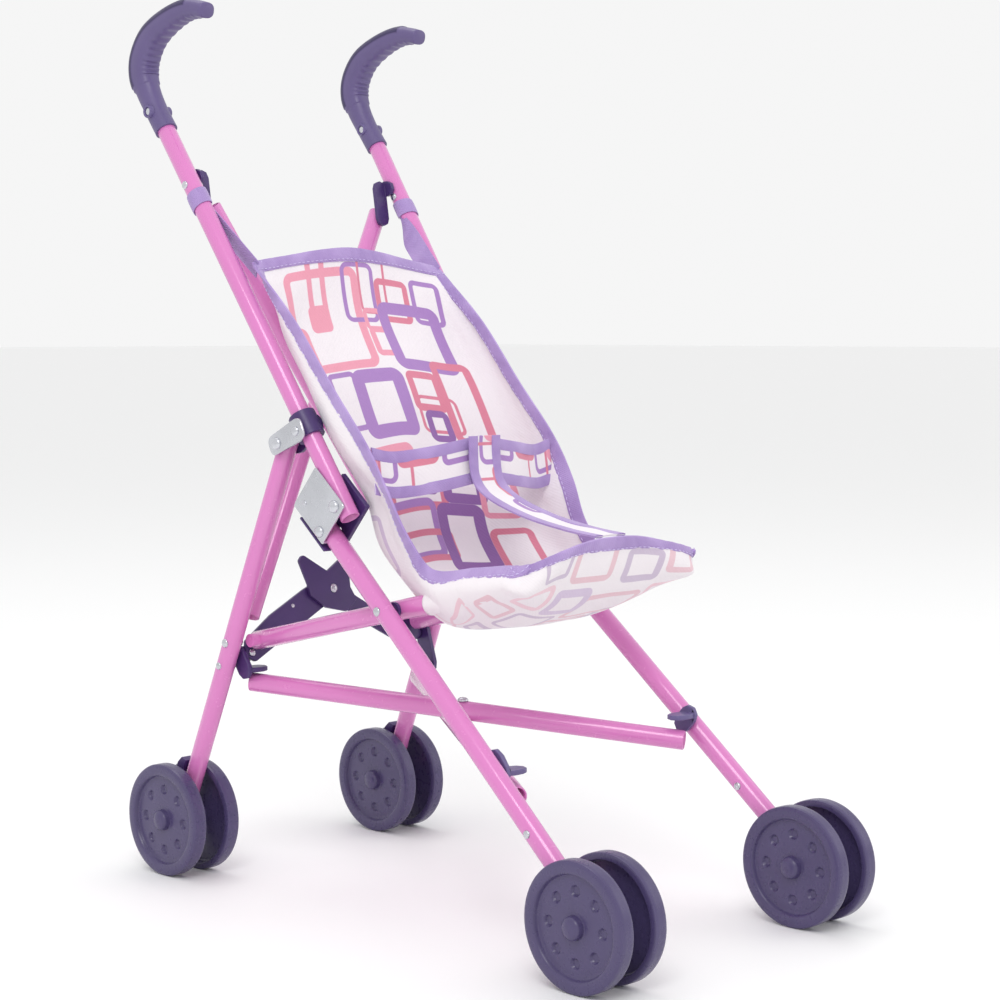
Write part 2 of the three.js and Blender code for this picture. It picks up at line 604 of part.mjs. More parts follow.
function hangingStrap(side) {
  const points = [[74, 119.7, 398], [76, 134.7, 408], [76.5, 147.7, 419]].map(([x, y, z]) => new THREE.Vector3(side * x, y, z));
  return band(points, new THREE.Vector3(0, 0.6, -0.8), 11, 1.6);
}

function crotchStrap() {
  const points = [[-96.3, 215], [-79.3, 226], [-47.3, 242], [-17.3, 256], [-3.3, 266]].map((p) => at(0, p));
  return band(points, X_AXIS, 24, 1.6);
}

function waistBelt(side) {
  const points = [[62, 16.7, 262], [46, 6.7, 258], [30, 0.7, 260], [13.5, 0.7, 262]].map(([x, y, z]) => new THREE.Vector3(side * x, y, z));
  return band(points, new THREE.Vector3(0, 0, 1), 28, 1.6);
}

// ---- the assembly ----
const stroller = new THREE.Group();
const named = (name, geometry, material) => {
  const mesh = new THREE.Mesh(geometry, material);
  mesh.name = name;
  return mesh;
};

function addSide(side, label) {
  const group = new THREE.Group();
  const add = (name, geometry, material) => group.add(named(name + "_" + label, geometry, material));
  add("push_tube", pushTube(side), PINK);
  add("grip", grip(side), PURPLE);
  add("front_leg", frontLeg(side), PINK);
  add("rear_leg", rearLeg(side), PINK);
  add("seat_rail", seatRail(side), PINK);
  add("knee_plate", kneePlate(side), STEEL);
  add("knee_housing", kneeHousing(side), DARK);
  add("knee_rivet", kneeRivet(side, KNEE), STEEL);
  add("collar", collar(side), PURPLE);
  add("collar_ear", collarEar(side), STEEL);
  add("rail_spacer", railSpacer(side), DARK);
  add("top_bracket", topBracket(side), DARK);
  add("hook_bracket", hookBracket(side), DARK);
  add("front_bracket", frontBracket(side), DARK);
  add("back_bar", backBar(side), PINK);
  add("lower_bar", underBar(side), PINK);
  add("brace_arm", braceArm(side), DARK);
  add("front_axle", axle(side, FRONT_AXLE, HALF_FRONT_WHEEL), STEEL);
  add("rear_axle", axle(side, REAR_AXLE, HALF_REAR_WHEEL), STEEL);
  add("front_knuckle", knuckle(side, FRONT_AXLE, HALF_FRONT_WHEEL, legDir.map((c) => -c), FRONT_SPLAY), DARK);
  add("rear_knuckle", knuckle(side, REAR_AXLE, HALF_REAR_WHEEL, rearDir.map((c) => -c), REAR_SPLAY), DARK);
  for (const [place, outer] of [["outer", 1], ["inner", -1]]) {
    add("front_wheel_" + place, wheel(side, FRONT_AXLE, HALF_FRONT_WHEEL, outer), PURPLE);
    add("rear_wheel_" + place, wheel(side, REAR_AXLE, HALF_REAR_WHEEL, outer), PURPLE);
  }
  add("hanging_strap", hangingStrap(side), TAPE);
  add("waist_belt", waistBelt(side), CLOTH);
  stroller.add(group);
}

addSide(-1, "left");
addSide(1, "right");
stroller.add(named("star_lever", starLever(), DARK));
stroller.add(named("brace_rivet", braceRivet(), STEEL));
stroller.add(named("back_bar_rivet", backRivet(), STEEL));
stroller.add(named("lower_bar_rivet", underRivet(), STEEL));
stroller.add(named("seat_sling", sling(), CLOTH));
stroller.add(named("crotch_strap", crotchStrap(), CLOTH));

export default stroller;
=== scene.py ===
import math
import bmesh
import bpy
from mathutils import Matrix, Vector, noise


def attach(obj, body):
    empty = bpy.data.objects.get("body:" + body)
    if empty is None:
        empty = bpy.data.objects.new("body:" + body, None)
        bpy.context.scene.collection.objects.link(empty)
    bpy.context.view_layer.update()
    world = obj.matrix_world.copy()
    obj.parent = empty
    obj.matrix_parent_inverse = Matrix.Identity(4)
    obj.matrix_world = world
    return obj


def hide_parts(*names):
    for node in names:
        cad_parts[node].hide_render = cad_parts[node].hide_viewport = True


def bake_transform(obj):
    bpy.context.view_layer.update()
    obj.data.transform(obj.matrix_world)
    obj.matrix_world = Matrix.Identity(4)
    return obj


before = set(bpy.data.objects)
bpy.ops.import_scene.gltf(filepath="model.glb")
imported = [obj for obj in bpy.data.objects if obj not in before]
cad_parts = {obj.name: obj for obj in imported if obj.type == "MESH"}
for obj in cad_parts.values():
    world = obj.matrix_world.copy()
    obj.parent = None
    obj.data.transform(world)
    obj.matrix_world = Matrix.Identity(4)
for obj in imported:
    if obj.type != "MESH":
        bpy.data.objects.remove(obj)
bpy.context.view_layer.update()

# ---- Enamelled tubes ----
# Thin-walled 12 mm steel tube, cut square and deburred, then sprayed in a glossy orchid pink.
# Push tubes, legs, seat rails and the four crossed bars are all the same tube.
X_AXIS = Vector((1, 0, 0))
TUBE_R = 6.0
TUBE_WALL = 1.0


def piece(name, verts, faces, material, body, smooth=40):
    """A mesh from points in millimetres, with its own material, riding on a body."""
    mesh = bpy.data.meshes.new(name)
    mesh.from_pydata([Vector(v) * 0.001 for v in verts], [], faces)
    cleaned = bmesh.new()
    cleaned.from_mesh(mesh)
    bmesh.ops.remove_doubles(cleaned, verts=cleaned.verts, dist=1e-6)
    bmesh.ops.recalc_face_normals(cleaned, faces=cleaned.faces)
    cleaned.to_mesh(mesh)
    cleaned.free()
    mesh.shade_smooth()
    mesh.set_sharp_from_angle(angle=math.radians(smooth))
    mesh.materials.append(material)
    obj = bpy.data.objects.new(name, mesh)
    bpy.context.scene.collection.objects.link(obj)
    if body:
        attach(obj, body)
    return obj


def turned(profile, foot, along, sides=48):
    """A closed ring of [radius, height] points turned about a line that starts at foot."""
    along = Vector(along).normalized()
    side = along.orthogonal().normalized()
    other = along.cross(side)
    verts = []
    for k in range(sides):
        turn = 2 * math.pi * k / sides
        out = side * math.cos(turn) + other * math.sin(turn)
        verts += [Vector(foot) + along * h + out * r for r, h in profile]
    n = len(profile)
    faces = []
    for k in range(sides):
        for i in range(n):
            j = (i + 1) % n
            a, b = k * n, ((k + 1) % sides) * n
            faces.append((a + i, a + j, b + j, b + i))
    return verts, faces


def joined(*parts):
    """Several (points, faces) as one."""
    verts, faces = [], []
    for more_verts, more_faces in parts:
        start = len(verts)
        verts += more_verts
        faces += [tuple(start + i for i in face) for face in more_faces]
    return verts, faces


def tube_shape(start, end):
    start, end = Vector(start), Vector(end)
    length = (end - start).length
    inner = TUBE_R - TUBE_WALL
    profile = [
        (inner, 0.3), (inner + 0.25, 0), (TUBE_R - 0.4, 0), (TUBE_R - 0.1, 0.12), (TUBE_R, 0.45),
        (TUBE_R, length - 0.45), (TUBE_R - 0.1, length - 0.12), (TUBE_R - 0.4, length),
        (inner + 0.25, length), (inner, length - 0.3),
    ]
    return turned(profile, start, end - start)


def socket(group, name, kind, way="INPUT", value=None):
    made = group.interface.new_socket(name=name, in_out=way, socket_type=kind)
    if value is not None:
        made.default_value = value
    return made


# Fine unevenness that every hard surface has: a soft cloudiness and small dull marks.
surface = bpy.data.node_groups.new("worn_surface", "ShaderNodeTree")
socket(surface, "Vector", "NodeSocketVector")
socket(surface, "Colour", "NodeSocketColor", value=(0.5, 0.5, 0.5, 1))
socket(surface, "Mottle", "NodeSocketFloat", value=0.06)
socket(surface, "Roughness", "NodeSocketFloat", value=0.35)
socket(surface, "Grain Scale", "NodeSocketFloat", value=900)
socket(surface, "Colour", "NodeSocketColor", "OUTPUT")
socket(surface, "Roughness", "NodeSocketFloat", "OUTPUT")
socket(surface, "Height", "NodeSocketFloat", "OUTPUT")
add = surface.nodes.new
link = surface.links.new
given = add("NodeGroupInput")
out = add("NodeGroupOutput")
cloud = add("ShaderNodeTexNoise")
cloud.inputs["Scale"].default_value = 38
cloud.inputs["Detail"].default_value = 4
grain = add("ShaderNodeTexNoise")
grain.inputs["Detail"].default_value = 2
marks = add("ShaderNodeTexNoise")
marks.inputs["Scale"].default_value = 260
marks.inputs["Detail"].default_value = 6
shade = add("ShaderNodeMapRange")
for name, value in (("From Min", 0.3), ("From Max", 0.7), ("To Min", 1.0), ("To Max", -1.0)):
    shade.inputs[name].default_value = value
amount = add("ShaderNodeMath")
amount.operation = "MULTIPLY"
bright = add("ShaderNodeMath")
bright.operation = "ADD"
bright.inputs[1].default_value = 1
tint = add("ShaderNodeVectorMath")
tint.operation = "SCALE"
dull = add("ShaderNodeMapRange")
for name, value in (("From Min", 0.35), ("From Max", 0.75), ("To Min", -0.05), ("To Max", 0.09)):
    dull.inputs[name].default_value = value
rough = add("ShaderNodeMath")
rough.operation = "ADD"
rough.use_clamp = True
for texture in (cloud, grain, marks):
    link(given.outputs["Vector"], texture.inputs["Vector"])
link(given.outputs["Grain Scale"], grain.inputs["Scale"])
link(cloud.outputs["Fac"], shade.inputs["Value"])
link(shade.outputs[0], amount.inputs[0])
link(given.outputs["Mottle"], amount.inputs[1])
link(amount.outputs[0], bright.inputs[0])
link(given.outputs["Colour"], tint.inputs[0])
link(bright.outputs[0], tint.inputs["Scale"])
link(marks.outputs["Fac"], dull.inputs["Value"])
link(dull.outputs[0], rough.inputs[0])
link(given.outputs["Roughness"], rough.inputs[1])
link(tint.outputs[0], out.inputs["Colour"])
link(rough.outputs[0], out.inputs["Roughness"])
link(grain.outputs["Fac"], out.inputs["Height"])


def hard_finish(name, colour, mottle, roughness, grain_scale, bump):
    """A material with its colour, mottling and grain from the worn surface group."""
    material = bpy.data.materials.new(name)
    material.use_nodes = True
    nodes, links = material.node_tree.nodes, material.node_tree.links
    shader = nodes["Principled BSDF"]
    place = nodes.new("ShaderNodeTexCoord")
    group = nodes.new("ShaderNodeGroup")
    group.node_tree = surface
    group.inputs["Colour"].default_value = (*colour, 1)
    group.inputs["Mottle"].default_value = mottle
    group.inputs["Roughness"].default_value = roughness
    group.inputs["Grain Scale"].default_value = grain_scale
    relief = nodes.new("ShaderNodeBump")
    relief.inputs["Strength"].default_value = bump
    relief.inputs["Distance"].default_value = 0.0004
    links.new(place.outputs["Object"], group.inputs["Vector"])
    links.new(group.outputs["Colour"], shader.inputs["Base Color"])
    links.new(group.outputs["Roughness"], shader.inputs["Roughness"])
    links.new(group.outputs["Height"], relief.inputs["Height"])
    links.new(relief.outputs["Normal"], shader.inputs["Normal"])
    return material


enamel = hard_finish("pink_enamel", (0.66, 0.195, 0.50), 0.015, 0.22, 420, 0.02)
enamel.node_tree.nodes["Principled BSDF"].inputs["Coat Weight"].default_value = 0.7
enamel.node_tree.nodes["Principled BSDF"].inputs["Coat Roughness"].default_value = 0.12

KNEE = Vector((0, 29.2, 245.4))
HANDLE = Vector((0, 189.3, 476.5))
LEG_PIVOT = Vector((0, 77.4, 281.4))
FRONT_AXLE = Vector((0, -185.3, 36))
REAR_AXLE = Vector((0, 178.7, 36))
RAIL_REAR = Vector((0, 128.7, 153.5))
RAIL_TIP = Vector((0, -107.3, 208.6))
KNEE_HALF, HANDLE_HALF, PIVOT_HALF, RAIL_HALF = 81, 90, 84, 69
FRONT_HALF, REAR_HALF = 93.5, 90.6
LEG_OFFSET = 20.8  # from the knee's rivet to the leg's, across the leg
handle_way = (HANDLE - KNEE).normalized()


def handle_line(s, side):
    """A point on a push tube's axis, s from the knee, splayed from 81 to 90 off the middle."""
    spread = KNEE_HALF + (HANDLE_HALF - KNEE_HALF) * s / (HANDLE - KNEE).length
    return KNEE + handle_way * s + X_AXIS * side * spread


reach = (FRONT_AXLE - KNEE).length
leg_turn = math.atan2(FRONT_AXLE.z - KNEE.z, FRONT_AXLE.y - KNEE.y) - math.asin(LEG_OFFSET / reach)
leg_way = Vector((0, math.cos(leg_turn), math.sin(leg_turn)))
leg_across = Vector((0, -leg_way.z, leg_way.y))
leg_rivet = KNEE + leg_across * LEG_OFFSET
leg_length = (FRONT_AXLE - leg_rivet).length


def leg_line(s, side):
    """A point on a front leg's axis, s below its rivet, splayed from 81 to 93.5."""
    return leg_rivet + leg_way * s + X_AXIS * side * (KNEE_HALF + (FRONT_HALF - KNEE_HALF) * s / leg_length)


rear_way = (REAR_AXLE - LEG_PIVOT).normalized()
rear_length = (REAR_AXLE - LEG_PIVOT).length


def rear_line(s, side):
    """A point on a rear leg's axis, s below its pivot, splayed from 84 to 90.6."""
    return LEG_PIVOT + rear_way * s + X_AXIS * side * (PIVOT_HALF + (REAR_HALF - PIVOT_HALF) * s / rear_length)


SIDES = ((-1, "left"), (1, "right"))
for side, label in SIDES:
    top = (HANDLE - KNEE).length + 26
    push = piece("push_tube_" + label + "_fine", *tube_shape(handle_line(-8.5, side), handle_line(top, side)),
                 enamel, "push_" + label)
    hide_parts("push_tube_" + label)
    leg = piece("front_leg_" + label + "_fine",
                *tube_shape(leg_line(-15, side), leg_line(leg_length - 13, side)), enamel, "front_leg_" + label)
    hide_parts("front_leg_" + label)
    leg = piece("rear_leg_" + label + "_fine",
                *tube_shape(rear_line(-3, side), rear_line(rear_length - 13, side)), enamel, "rear_leg_" + label)
    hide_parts("rear_leg_" + label)
    rail_start = RAIL_REAR + X_AXIS * side * RAIL_HALF
    rail_pivot = RAIL_REAR.lerp(RAIL_TIP, 0.03) + X_AXIS * side * RAIL_HALF
    boss = [(0.01, 3), (4.2, 3), (4.2, 11.2), (0.01, 11.2)]
    rail = piece("seat_rail_" + label + "_fine",
                 *joined(tube_shape(rail_start, RAIL_TIP + X_AXIS * side * RAIL_HALF),
                         turned(boss, rail_pivot, X_AXIS * side, 24)), enamel, "rail_" + label)
    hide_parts("seat_rail_" + label)

# The crossed bars behind the seat: the one from the right lies behind the one from the left.
BACK_TOP = Vector((0, 168.7, 426))
BACK_LOW = Vector((0, 125.7, 166))
back_way = (BACK_TOP - BACK_LOW).normalized()
back_out = Vector((0, back_way.z, -back_way.y))
for side, label in SIDES:
    top = BACK_TOP + back_out * side * 7.8 + X_AXIS * side * 76
    low = BACK_LOW + back_out * side * 7.8 - X_AXIS * side * 72
    way = (top - low).normalized()
    bar = piece("back_bar_" + label + "_fine", *tube_shape(low + way * 4, top + way * (1 if side < 0 else 7)),
                enamel, "back_bar_" + label)
    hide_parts("back_bar_" + label)

# The crossed bars under the seat: the one from the left rear leg lies over the other.
for side, label in SIDES:
    drop = 0 if side < 0 else 13
    rear = Vector((side * 70.5, 126.7, 127 - drop))
    front = Vector((-side * 70.5, -103.3, 102 - drop))
    way = (front - rear).normalized()
    bar = piece("lower_bar_" + label + "_fine", *tube_shape(rear - way * 4, front + way * 4),
                enamel, "lower_bar_" + label)
    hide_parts("lower_bar_" + label)

# ---- Moulded brackets ----
# Deep purple nylon mouldings with rounded edges: knee housings, collars, knuckles and bar brackets.
# Each is screwed or riveted to its tube.
dark_nylon = hard_finish("dark_purple_plastic", (0.058, 0.028, 0.135), 0.08, 0.36, 1500, 0.10)
nylon = hard_finish("purple_plastic", (0.125, 0.095, 0.235), 0.05, 0.40, 1500, 0.10)


def rounded_copy(node, material, radius, body):
    """A copy of a node's own solid with its loose triangles merged and its edges rounded."""
    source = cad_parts[node]
    mesh = source.data.copy()
    tidy = bmesh.new()
    tidy.from_mesh(mesh)
    bmesh.ops.remove_doubles(tidy, verts=tidy.verts, dist=2e-6)
    bmesh.ops.dissolve_limit(tidy, angle_limit=math.radians(1), verts=tidy.verts, edges=tidy.edges)
    tidy.to_mesh(mesh)
    tidy.free()
    mesh.materials.clear()
    mesh.materials.append(material)
    obj = bpy.data.objects.new(node + "_fine", mesh)
    bpy.context.scene.collection.objects.link(obj)
    bevel = obj.modifiers.new("edges", "BEVEL")
    bevel.width = radius * 0.001
    bevel.segments = 3
    bevel.limit_method = "ANGLE"
    bevel.angle_limit = math.radians(40)
    bevel.use_clamp_overlap = True
    mesh.shade_smooth()
    mesh.set_sharp_from_angle(angle=math.radians(50))
    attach(obj, body)
    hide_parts(node)
    return obj


for side, label in SIDES:
    rounded_copy("knee_housing_" + label, dark_nylon, 0.7, "front_leg_" + label)
    rounded_copy("collar_" + label, dark_nylon, 0.6, "push_" + label)
    rounded_copy("top_bracket_" + label, dark_nylon, 0.6, "top_bracket_" + label)
    rounded_copy("hook_bracket_" + label, dark_nylon, 0.6, "hook_" + label)
    rounded_copy("front_bracket_" + label, nylon, 0.6, "front_bracket_" + label)
    rounded_copy("front_knuckle_" + label, dark_nylon, 0.5, "front_leg_" + label)
    rounded_copy("rear_knuckle_" + label, dark_nylon, 0.5, "rear_leg_" + label)
    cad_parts["rail_spacer_" + label].data.materials.clear()
    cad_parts["rail_spacer_" + label].data.materials.append(dark_nylon)

# ---- Steel plates and rivets ----
# Zinc-plated steel: a pressed plate over each knee, an ear on each collar, and domed rivets.
# The plates have rolled edges, and every rivet is set a little into its seat.
steel = hard_finish("zinc_steel", (0.60, 0.61, 0.65), 0.10, 0.24, 300, 0.05)
steel.node_tree.nodes["Principled BSDF"].inputs["Metallic"].default_value = 1.0


def dome(foot, way, radius=4.2, height=2.2):
    """A rivet's head with a small flat on top, standing on foot."""
    profile = [(0.01, -0.4), (radius * 0.96, -0.4), (radius, -0.1), (radius * 0.97, 0.25)]
    for k in range(1, 7):
        turn = math.pi / 2 * k / 6
        profile.append((max(radius * 0.97 * math.cos(turn), 0.01), 0.25 + (height - 0.25) * math.sin(turn)))
    return turned(profile, foot, way, 28)


def plate_shape(outline, low, high, corner):
    """A flat plate between two side planes, from (y, z) corners rounded by a radius."""
    rounded = []
    n = len(outline)
    for i in range(n):
        before, here, after = (Vector(outline[(i + k) % n]) for k in (-1, 0, 1))
        into, onward = (before - here).normalized(), (after - here).normalized()
        half = into.angle(onward) / 2
        cut = min(corner / math.tan(half), (before - here).length / 2.2, (after - here).length / 2.2)
        start, end = here + into * cut, here + onward * cut
        for k in range(7):
            t = k / 6
            rounded.append(start * (1 - t) ** 2 + here * 2 * t * (1 - t) + end * t * t)
    edge = 0.35
    middle = sum((Vector(p) for p in outline), Vector((0, 0))) / n
    rings = []
    for x, inset in ((low, edge), (low + edge, 0), (high - edge, 0), (high, edge)):
        ring = [p + (middle - p).normalized() * inset for p in rounded]
        rings.append([Vector((x, p.x, p.y)) for p in ring])
    count = len(rounded)
    verts = [p for ring in rings for p in ring]
    faces = [tuple(range(count)), tuple(3 * count + i for i in range(count))]
    for r in range(3):
        for i in range(count):
            j = (i + 1) % count
            faces.append((r * count + i, r * count + j, (r + 1) * count + j, (r + 1) * count + i))
    return verts, faces


def on_leg(a, b):
    point = KNEE + leg_way * a + leg_across * b
    return (point.y, point.z)


for side, label in SIDES:
    outward = X_AXIS * side
    inner, outer = 88.1, 89.6
    corners = [on_leg(-28, -6.5), on_leg(6.5, -6.5), on_leg(6.5, 24.5), on_leg(-28, 24.5)]
    plate = plate_shape(corners, *sorted((side * inner, side * outer)), 2.2)
    low_flange = plate_shape([on_leg(-28, 22.8), on_leg(6.5, 22.8), on_leg(6.5, 25.2), on_leg(-28, 25.2)],
                             *sorted((side * 82, side * (outer - 0.4))), 0.8)
    heads = [dome(KNEE + outward * (outer + 0.1), outward, 4.0, 2.3),
             dome(leg_rivet + outward * (outer + 0.1), outward, 3.6, 2.1),
             dome(Vector((0, *on_leg(-21, 17))) + outward * outer, outward, 1.7, 0.7)]
    knee = piece("knee_plate_" + label + "_fine", *joined(plate, low_flange, *heads), steel, "front_leg_" + label)
    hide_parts("knee_plate_" + label)
    shank = dome(KNEE + outward * 71.2, -outward, 3.8, 2.0)
    fix = piece("knee_rivet_" + label + "_fine", *shank, steel, "push_" + label)
    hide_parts("knee_rivet_" + label)

    on_tube = KNEE + handle_way * (LEG_PIVOT - KNEE).dot(handle_way) * 0.94
    a, b = Vector((on_tube.y, on_tube.z)), Vector((LEG_PIVOT.y, LEG_PIVOT.z))
    along = (b - a).normalized()
    across = Vector((-along.y, along.x))
    corners = [a - along * 7 + across * 7.4, a - along * 7 - across * 7.4,
               b + along * 7.5 - across * 6.2, b + along * 7.5 + across * 6.2]
    ear = plate_shape(corners, *sorted((side * 92.2, side * 93.7)), 5.5)
    heads = [dome(Vector((0, *a)) + outward * 93.8, outward, 3.1, 1.6),
             dome(LEG_PIVOT + outward * 93.8, outward, 3.8, 2.0)]
    ear = piece("collar_ear_" + label + "_fine", *joined(ear, *heads), steel, "push_" + label)
    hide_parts("collar_ear_" + label)

    # Small rivets through the tubes, each head on its tube's outer face.
    spots = [("front_leg_" + label, leg_line(leg_length - 62, side), 2.4),
             ("front_leg_" + label, leg_line((leg_rivet.z - 186) / -leg_way.z, side), 2.8),
             ("rear_leg_" + label, rear_line((LEG_PIVOT.z - 154) / -rear_way.z, side), 2.8),
             ("rear_leg_" + label, rear_line((LEG_PIVOT.z - 145.4) / -rear_way.z, side) + rear_way * 7, 2.4),
             ("push_" + label, handle_line((441 - KNEE.z) / handle_way.z, side), 2.6)]
    for number, (body, spot, radius) in enumerate(spots):
        head = piece("tube_rivet_%s_%d" % (label, number),
                     *joined(dome(spot + outward * 5.9, outward, radius, 1.3),
                             dome(spot - outward * 5.9, -outward, radius, 1.3)), steel, body)

for node in ("front_axle", "rear_axle"):
    for side, label in SIDES:
        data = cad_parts[node + "_" + label].data
        data.materials.clear()
        data.materials.append(steel)

middle = BACK_LOW.lerp(BACK_TOP, 72 / 148)
cross = [(0.01, -1.5), (4.0, -1.5), (4.0, 1.5), (0.01, 1.5)]
pin = piece("back_bar_rivet_fine",
            *joined(turned(cross, middle, back_out, 24), dome(middle + back_out * 13.9, back_out, 3, 1.6),
                    dome(middle - back_out * 13.9, -back_out, 3, 1.6)), steel, "back_bar_left")
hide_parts("back_bar_rivet")
pin = piece("lower_bar_rivet_fine", *dome(Vector((0, 11.7, 120.8)), (0, 0, 1), 3.6, 2.0), steel, "lower_bar_left")
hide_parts("lower_bar_rivet")

# ---- Toggle brace ----
# Three flat purple nylon plates, 2.6 mm thick, that lock the open frame: an arm from each rear leg
# and a horned lever. One rivet holds them, and a foot on the horns folds the frame.
BRACE = Vector((0, 139.3, 179.6))
brace_up = Vector((0, 7.6, 34.2)).normalized()
brace_out = Vector((0, brace_up.z, -brace_up.y))


def brace_shape(outline, layer, thick=2.6):
    """A plate in the brace's plane from (x, up) corners, its rear face at the given layer."""
    verts, faces = plate_shape(outline, -thick, 0, 2.4)
    placed = []
    for v in verts:
        placed.append(BRACE + X_AXIS * v.y + brace_up * v.z + brace_out * (layer + v.x))
    return placed, faces


left_arm = [(3, -6), (5, 3), (-9, 7), (-23, 1.5), (-53, -12.5), (-76, -27), (-77.5, -37), (-70, -41), (-46, -29.4),
            (-20, -17)]
right_arm = [(9, -7), (11, 2), (15, 0), (23.3, -6.2), (42.3, -18), (74, -27), (77.5, -37), (70, -41), (50, -37),
             (19.3, -19)]
lever = [(-25.4, 20.4), (-21.8, 24), (-2.9, 11.8), (11.6, 20.2), (16, 15.4), (15, -0.5), (19, -9), (9, -16), (-8, -12),
         (-20, -3), (-20.6, 4.4)]
arm = piece("brace_arm_left_fine", *brace_shape(left_arm, 0), dark_nylon, "brace_arm_left")
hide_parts("brace_arm_left")
arm = piece("brace_arm_right_fine", *brace_shape(right_arm, 2.9), dark_nylon, "brace_arm_right")
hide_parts("brace_arm_right")
star = piece("star_lever_fine", *brace_shape(lever, -2.9), dark_nylon, "star")
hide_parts("star_lever")
ends = joined(dome(BRACE - brace_out * 5.6, -brace_out, 3.0, 1.5), dome(BRACE + brace_out * 3.1, brace_out, 3.0, 1.5),
              dome(BRACE - brace_out * 2.7 + X_AXIS * -34 - brace_up * 8.3, -brace_out, 1.4, 0.8),
              dome(BRACE - brace_out * 2.7 - X_AXIS * 72.5 - brace_up * 35, -brace_out, 2.6, 1.4))
rivet = piece("brace_rivet_fine", *ends, steel, "brace_arm_left")
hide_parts("brace_rivet")

# ---- Wheels ----
# Twin wheels moulded in one piece from satin purple plastic: a plain flat tread, a raised rim,
# a dished face with eight dimples, and a domed cap over the axle.
wheel_plastic = hard_finish("wheel_plastic", (0.068, 0.052, 0.135), 0.05, 0.30, 1300, 0.05)
WHEEL_SIDES = 176


def wheel_shape(axle, facing):
    """A wheel centred on its axle, its dished face towards facing times X."""
    face = [(36.0, 3.2), (35.6, 4.2), (34.6, 4.75), (33.2, 4.95), (30.2, 4.95), (29.2, 4.75), (28.6, 4.2),
            (28.2, 3.0), (27.8, 2.3), (27.0, 2.0)]
    face += [(r, 2.0 + 0.7 * (27 - r) / 20) for r in [26 - 0.5 * k for k in range(38)]]
    cap = [(6.9, 2.9), (6.7, 4.6), (6.5, 5.4)]
    cap += [(6.5 * math.cos(math.pi / 2 * k / 8), 5.4 + 3.0 * math.sin(math.pi / 2 * k / 8)) for k in range(1, 8)]
    cap.append((0.02, 8.4))
    back = [(2.3, -4.8), (6.8, -4.8), (7.0, -4.5), (7.0, 0.4), (7.5, 0.7), (30.6, 0.7), (31.2, 0.2), (31.9, -4.4),
            (32.2, -4.7), (34.6, -4.75), (35.6, -4.2), (36.0, -3.2)]
    hub = [(0.02, 1.5), (2.3, 1.5)]
    profile = hub + back + [(36.0, k) for k in (-1.6, 0, 1.6)] + face + cap
    verts, faces = [], []
    n = len(profile)
    for k in range(WHEEL_SIDES):
        turn = 2 * math.pi * k / WHEEL_SIDES
        for r, h in profile:
            if 13 < r < 26 and h > 1.9:
                near = (turn + math.pi / 8) % (math.pi / 4) - math.pi / 8
                away = math.hypot(r * math.cos(near) - 19.6, r * math.sin(near))
                if away < 3.2:
                    h -= 1.5 * min(1, (3.2 - away) / 0.8)
            verts.append(axle + Vector((facing * h, r * math.cos(turn), r * math.sin(turn))))
    for k in range(WHEEL_SIDES):
        a, b = k * n, ((k + 1) % WHEEL_SIDES) * n
        for i in range(n - 1):
            faces.append((a + i, a + i + 1, b + i + 1, b + i))
    faces.append(tuple(k * n for k in range(WHEEL_SIDES)))
    faces.append(tuple(k * n + n - 1 for k in range(WHEEL_SIDES)))
    return verts, faces


for side, label in SIDES:
    for place, axle, half in (("front", FRONT_AXLE, FRONT_HALF), ("rear", REAR_AXLE, REAR_HALF)):
        for which, out_in in (("outer", 1), ("inner", -1)):
            facing = side * out_in
            centre = axle + X_AXIS * (side * half + facing * 13.0)
            name = "%s_wheel_%s_%s" % (place, which, label)
            wheel = piece(name + "_fine", *wheel_shape(centre, facing), wheel_plastic, name, 32)
            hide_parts(name)

# ---- Grips ----
# Hooked handles moulded from satin purple plastic, pushed over the tube and held by a cross screw.
# A soft dark strip is let into the back of the hook, and its inner edge is ribbed for fingers.
GRIP_LINE = [(189.3, 476.5), (199.7, 490), (207.7, 502), (212.4, 513), (210.7, 525), (200.7, 537.5),
             (181.7, 546.5), (162.7, 550.5), (146.2, 548)]
GRIP_WIDE = [7.3, 7.3, 7.6, 8.4, 8.8, 8.8, 8.2, 7.2, 5.9]
GRIP_DEEP = [7.3, 7.3, 8.2, 9.0, 8.8, 8.0, 6.8, 5.8, 4.9]


def through(values, t):
    """A smooth value, or point, a share t of the way through a list of them."""
    k = min(max(t, 0), 1) * (len(values) - 1)
    i = min(int(k), len(values) - 2)
    f = k - i
    a, b, c, d = (values[min(max(i + n, 0), len(values) - 1)] for n in (-1, 0, 1, 2))
    return 0.5 * (2 * b + (c - a) * f + (2 * a - 5 * b + 4 * c - d) * f * f + (3 * b - a - 3 * c + d) * f ** 3)


soft_strip = hard_finish("grip_plastic", (0.115, 0.085, 0.215), 0.05, 0.40, 1500, 0.12)
nodes, links = soft_strip.node_tree.nodes, soft_strip.node_tree.links
marked = nodes.new("ShaderNodeAttribute")
marked.attribute_name = "soft_strip"
strip = nodes.new("ShaderNodeMix")
strip.data_type = "RGBA"
strip.inputs["B"].default_value = (0.030, 0.018, 0.085, 1)
links.new(marked.outputs["Fac"], strip.inputs["Factor"])
worn = next(n for n in nodes if n.type == "GROUP")
links.new(worn.outputs["Colour"], strip.inputs["A"])
links.new(strip.outputs["Result"], nodes["Principled BSDF"].inputs["Base Color"])

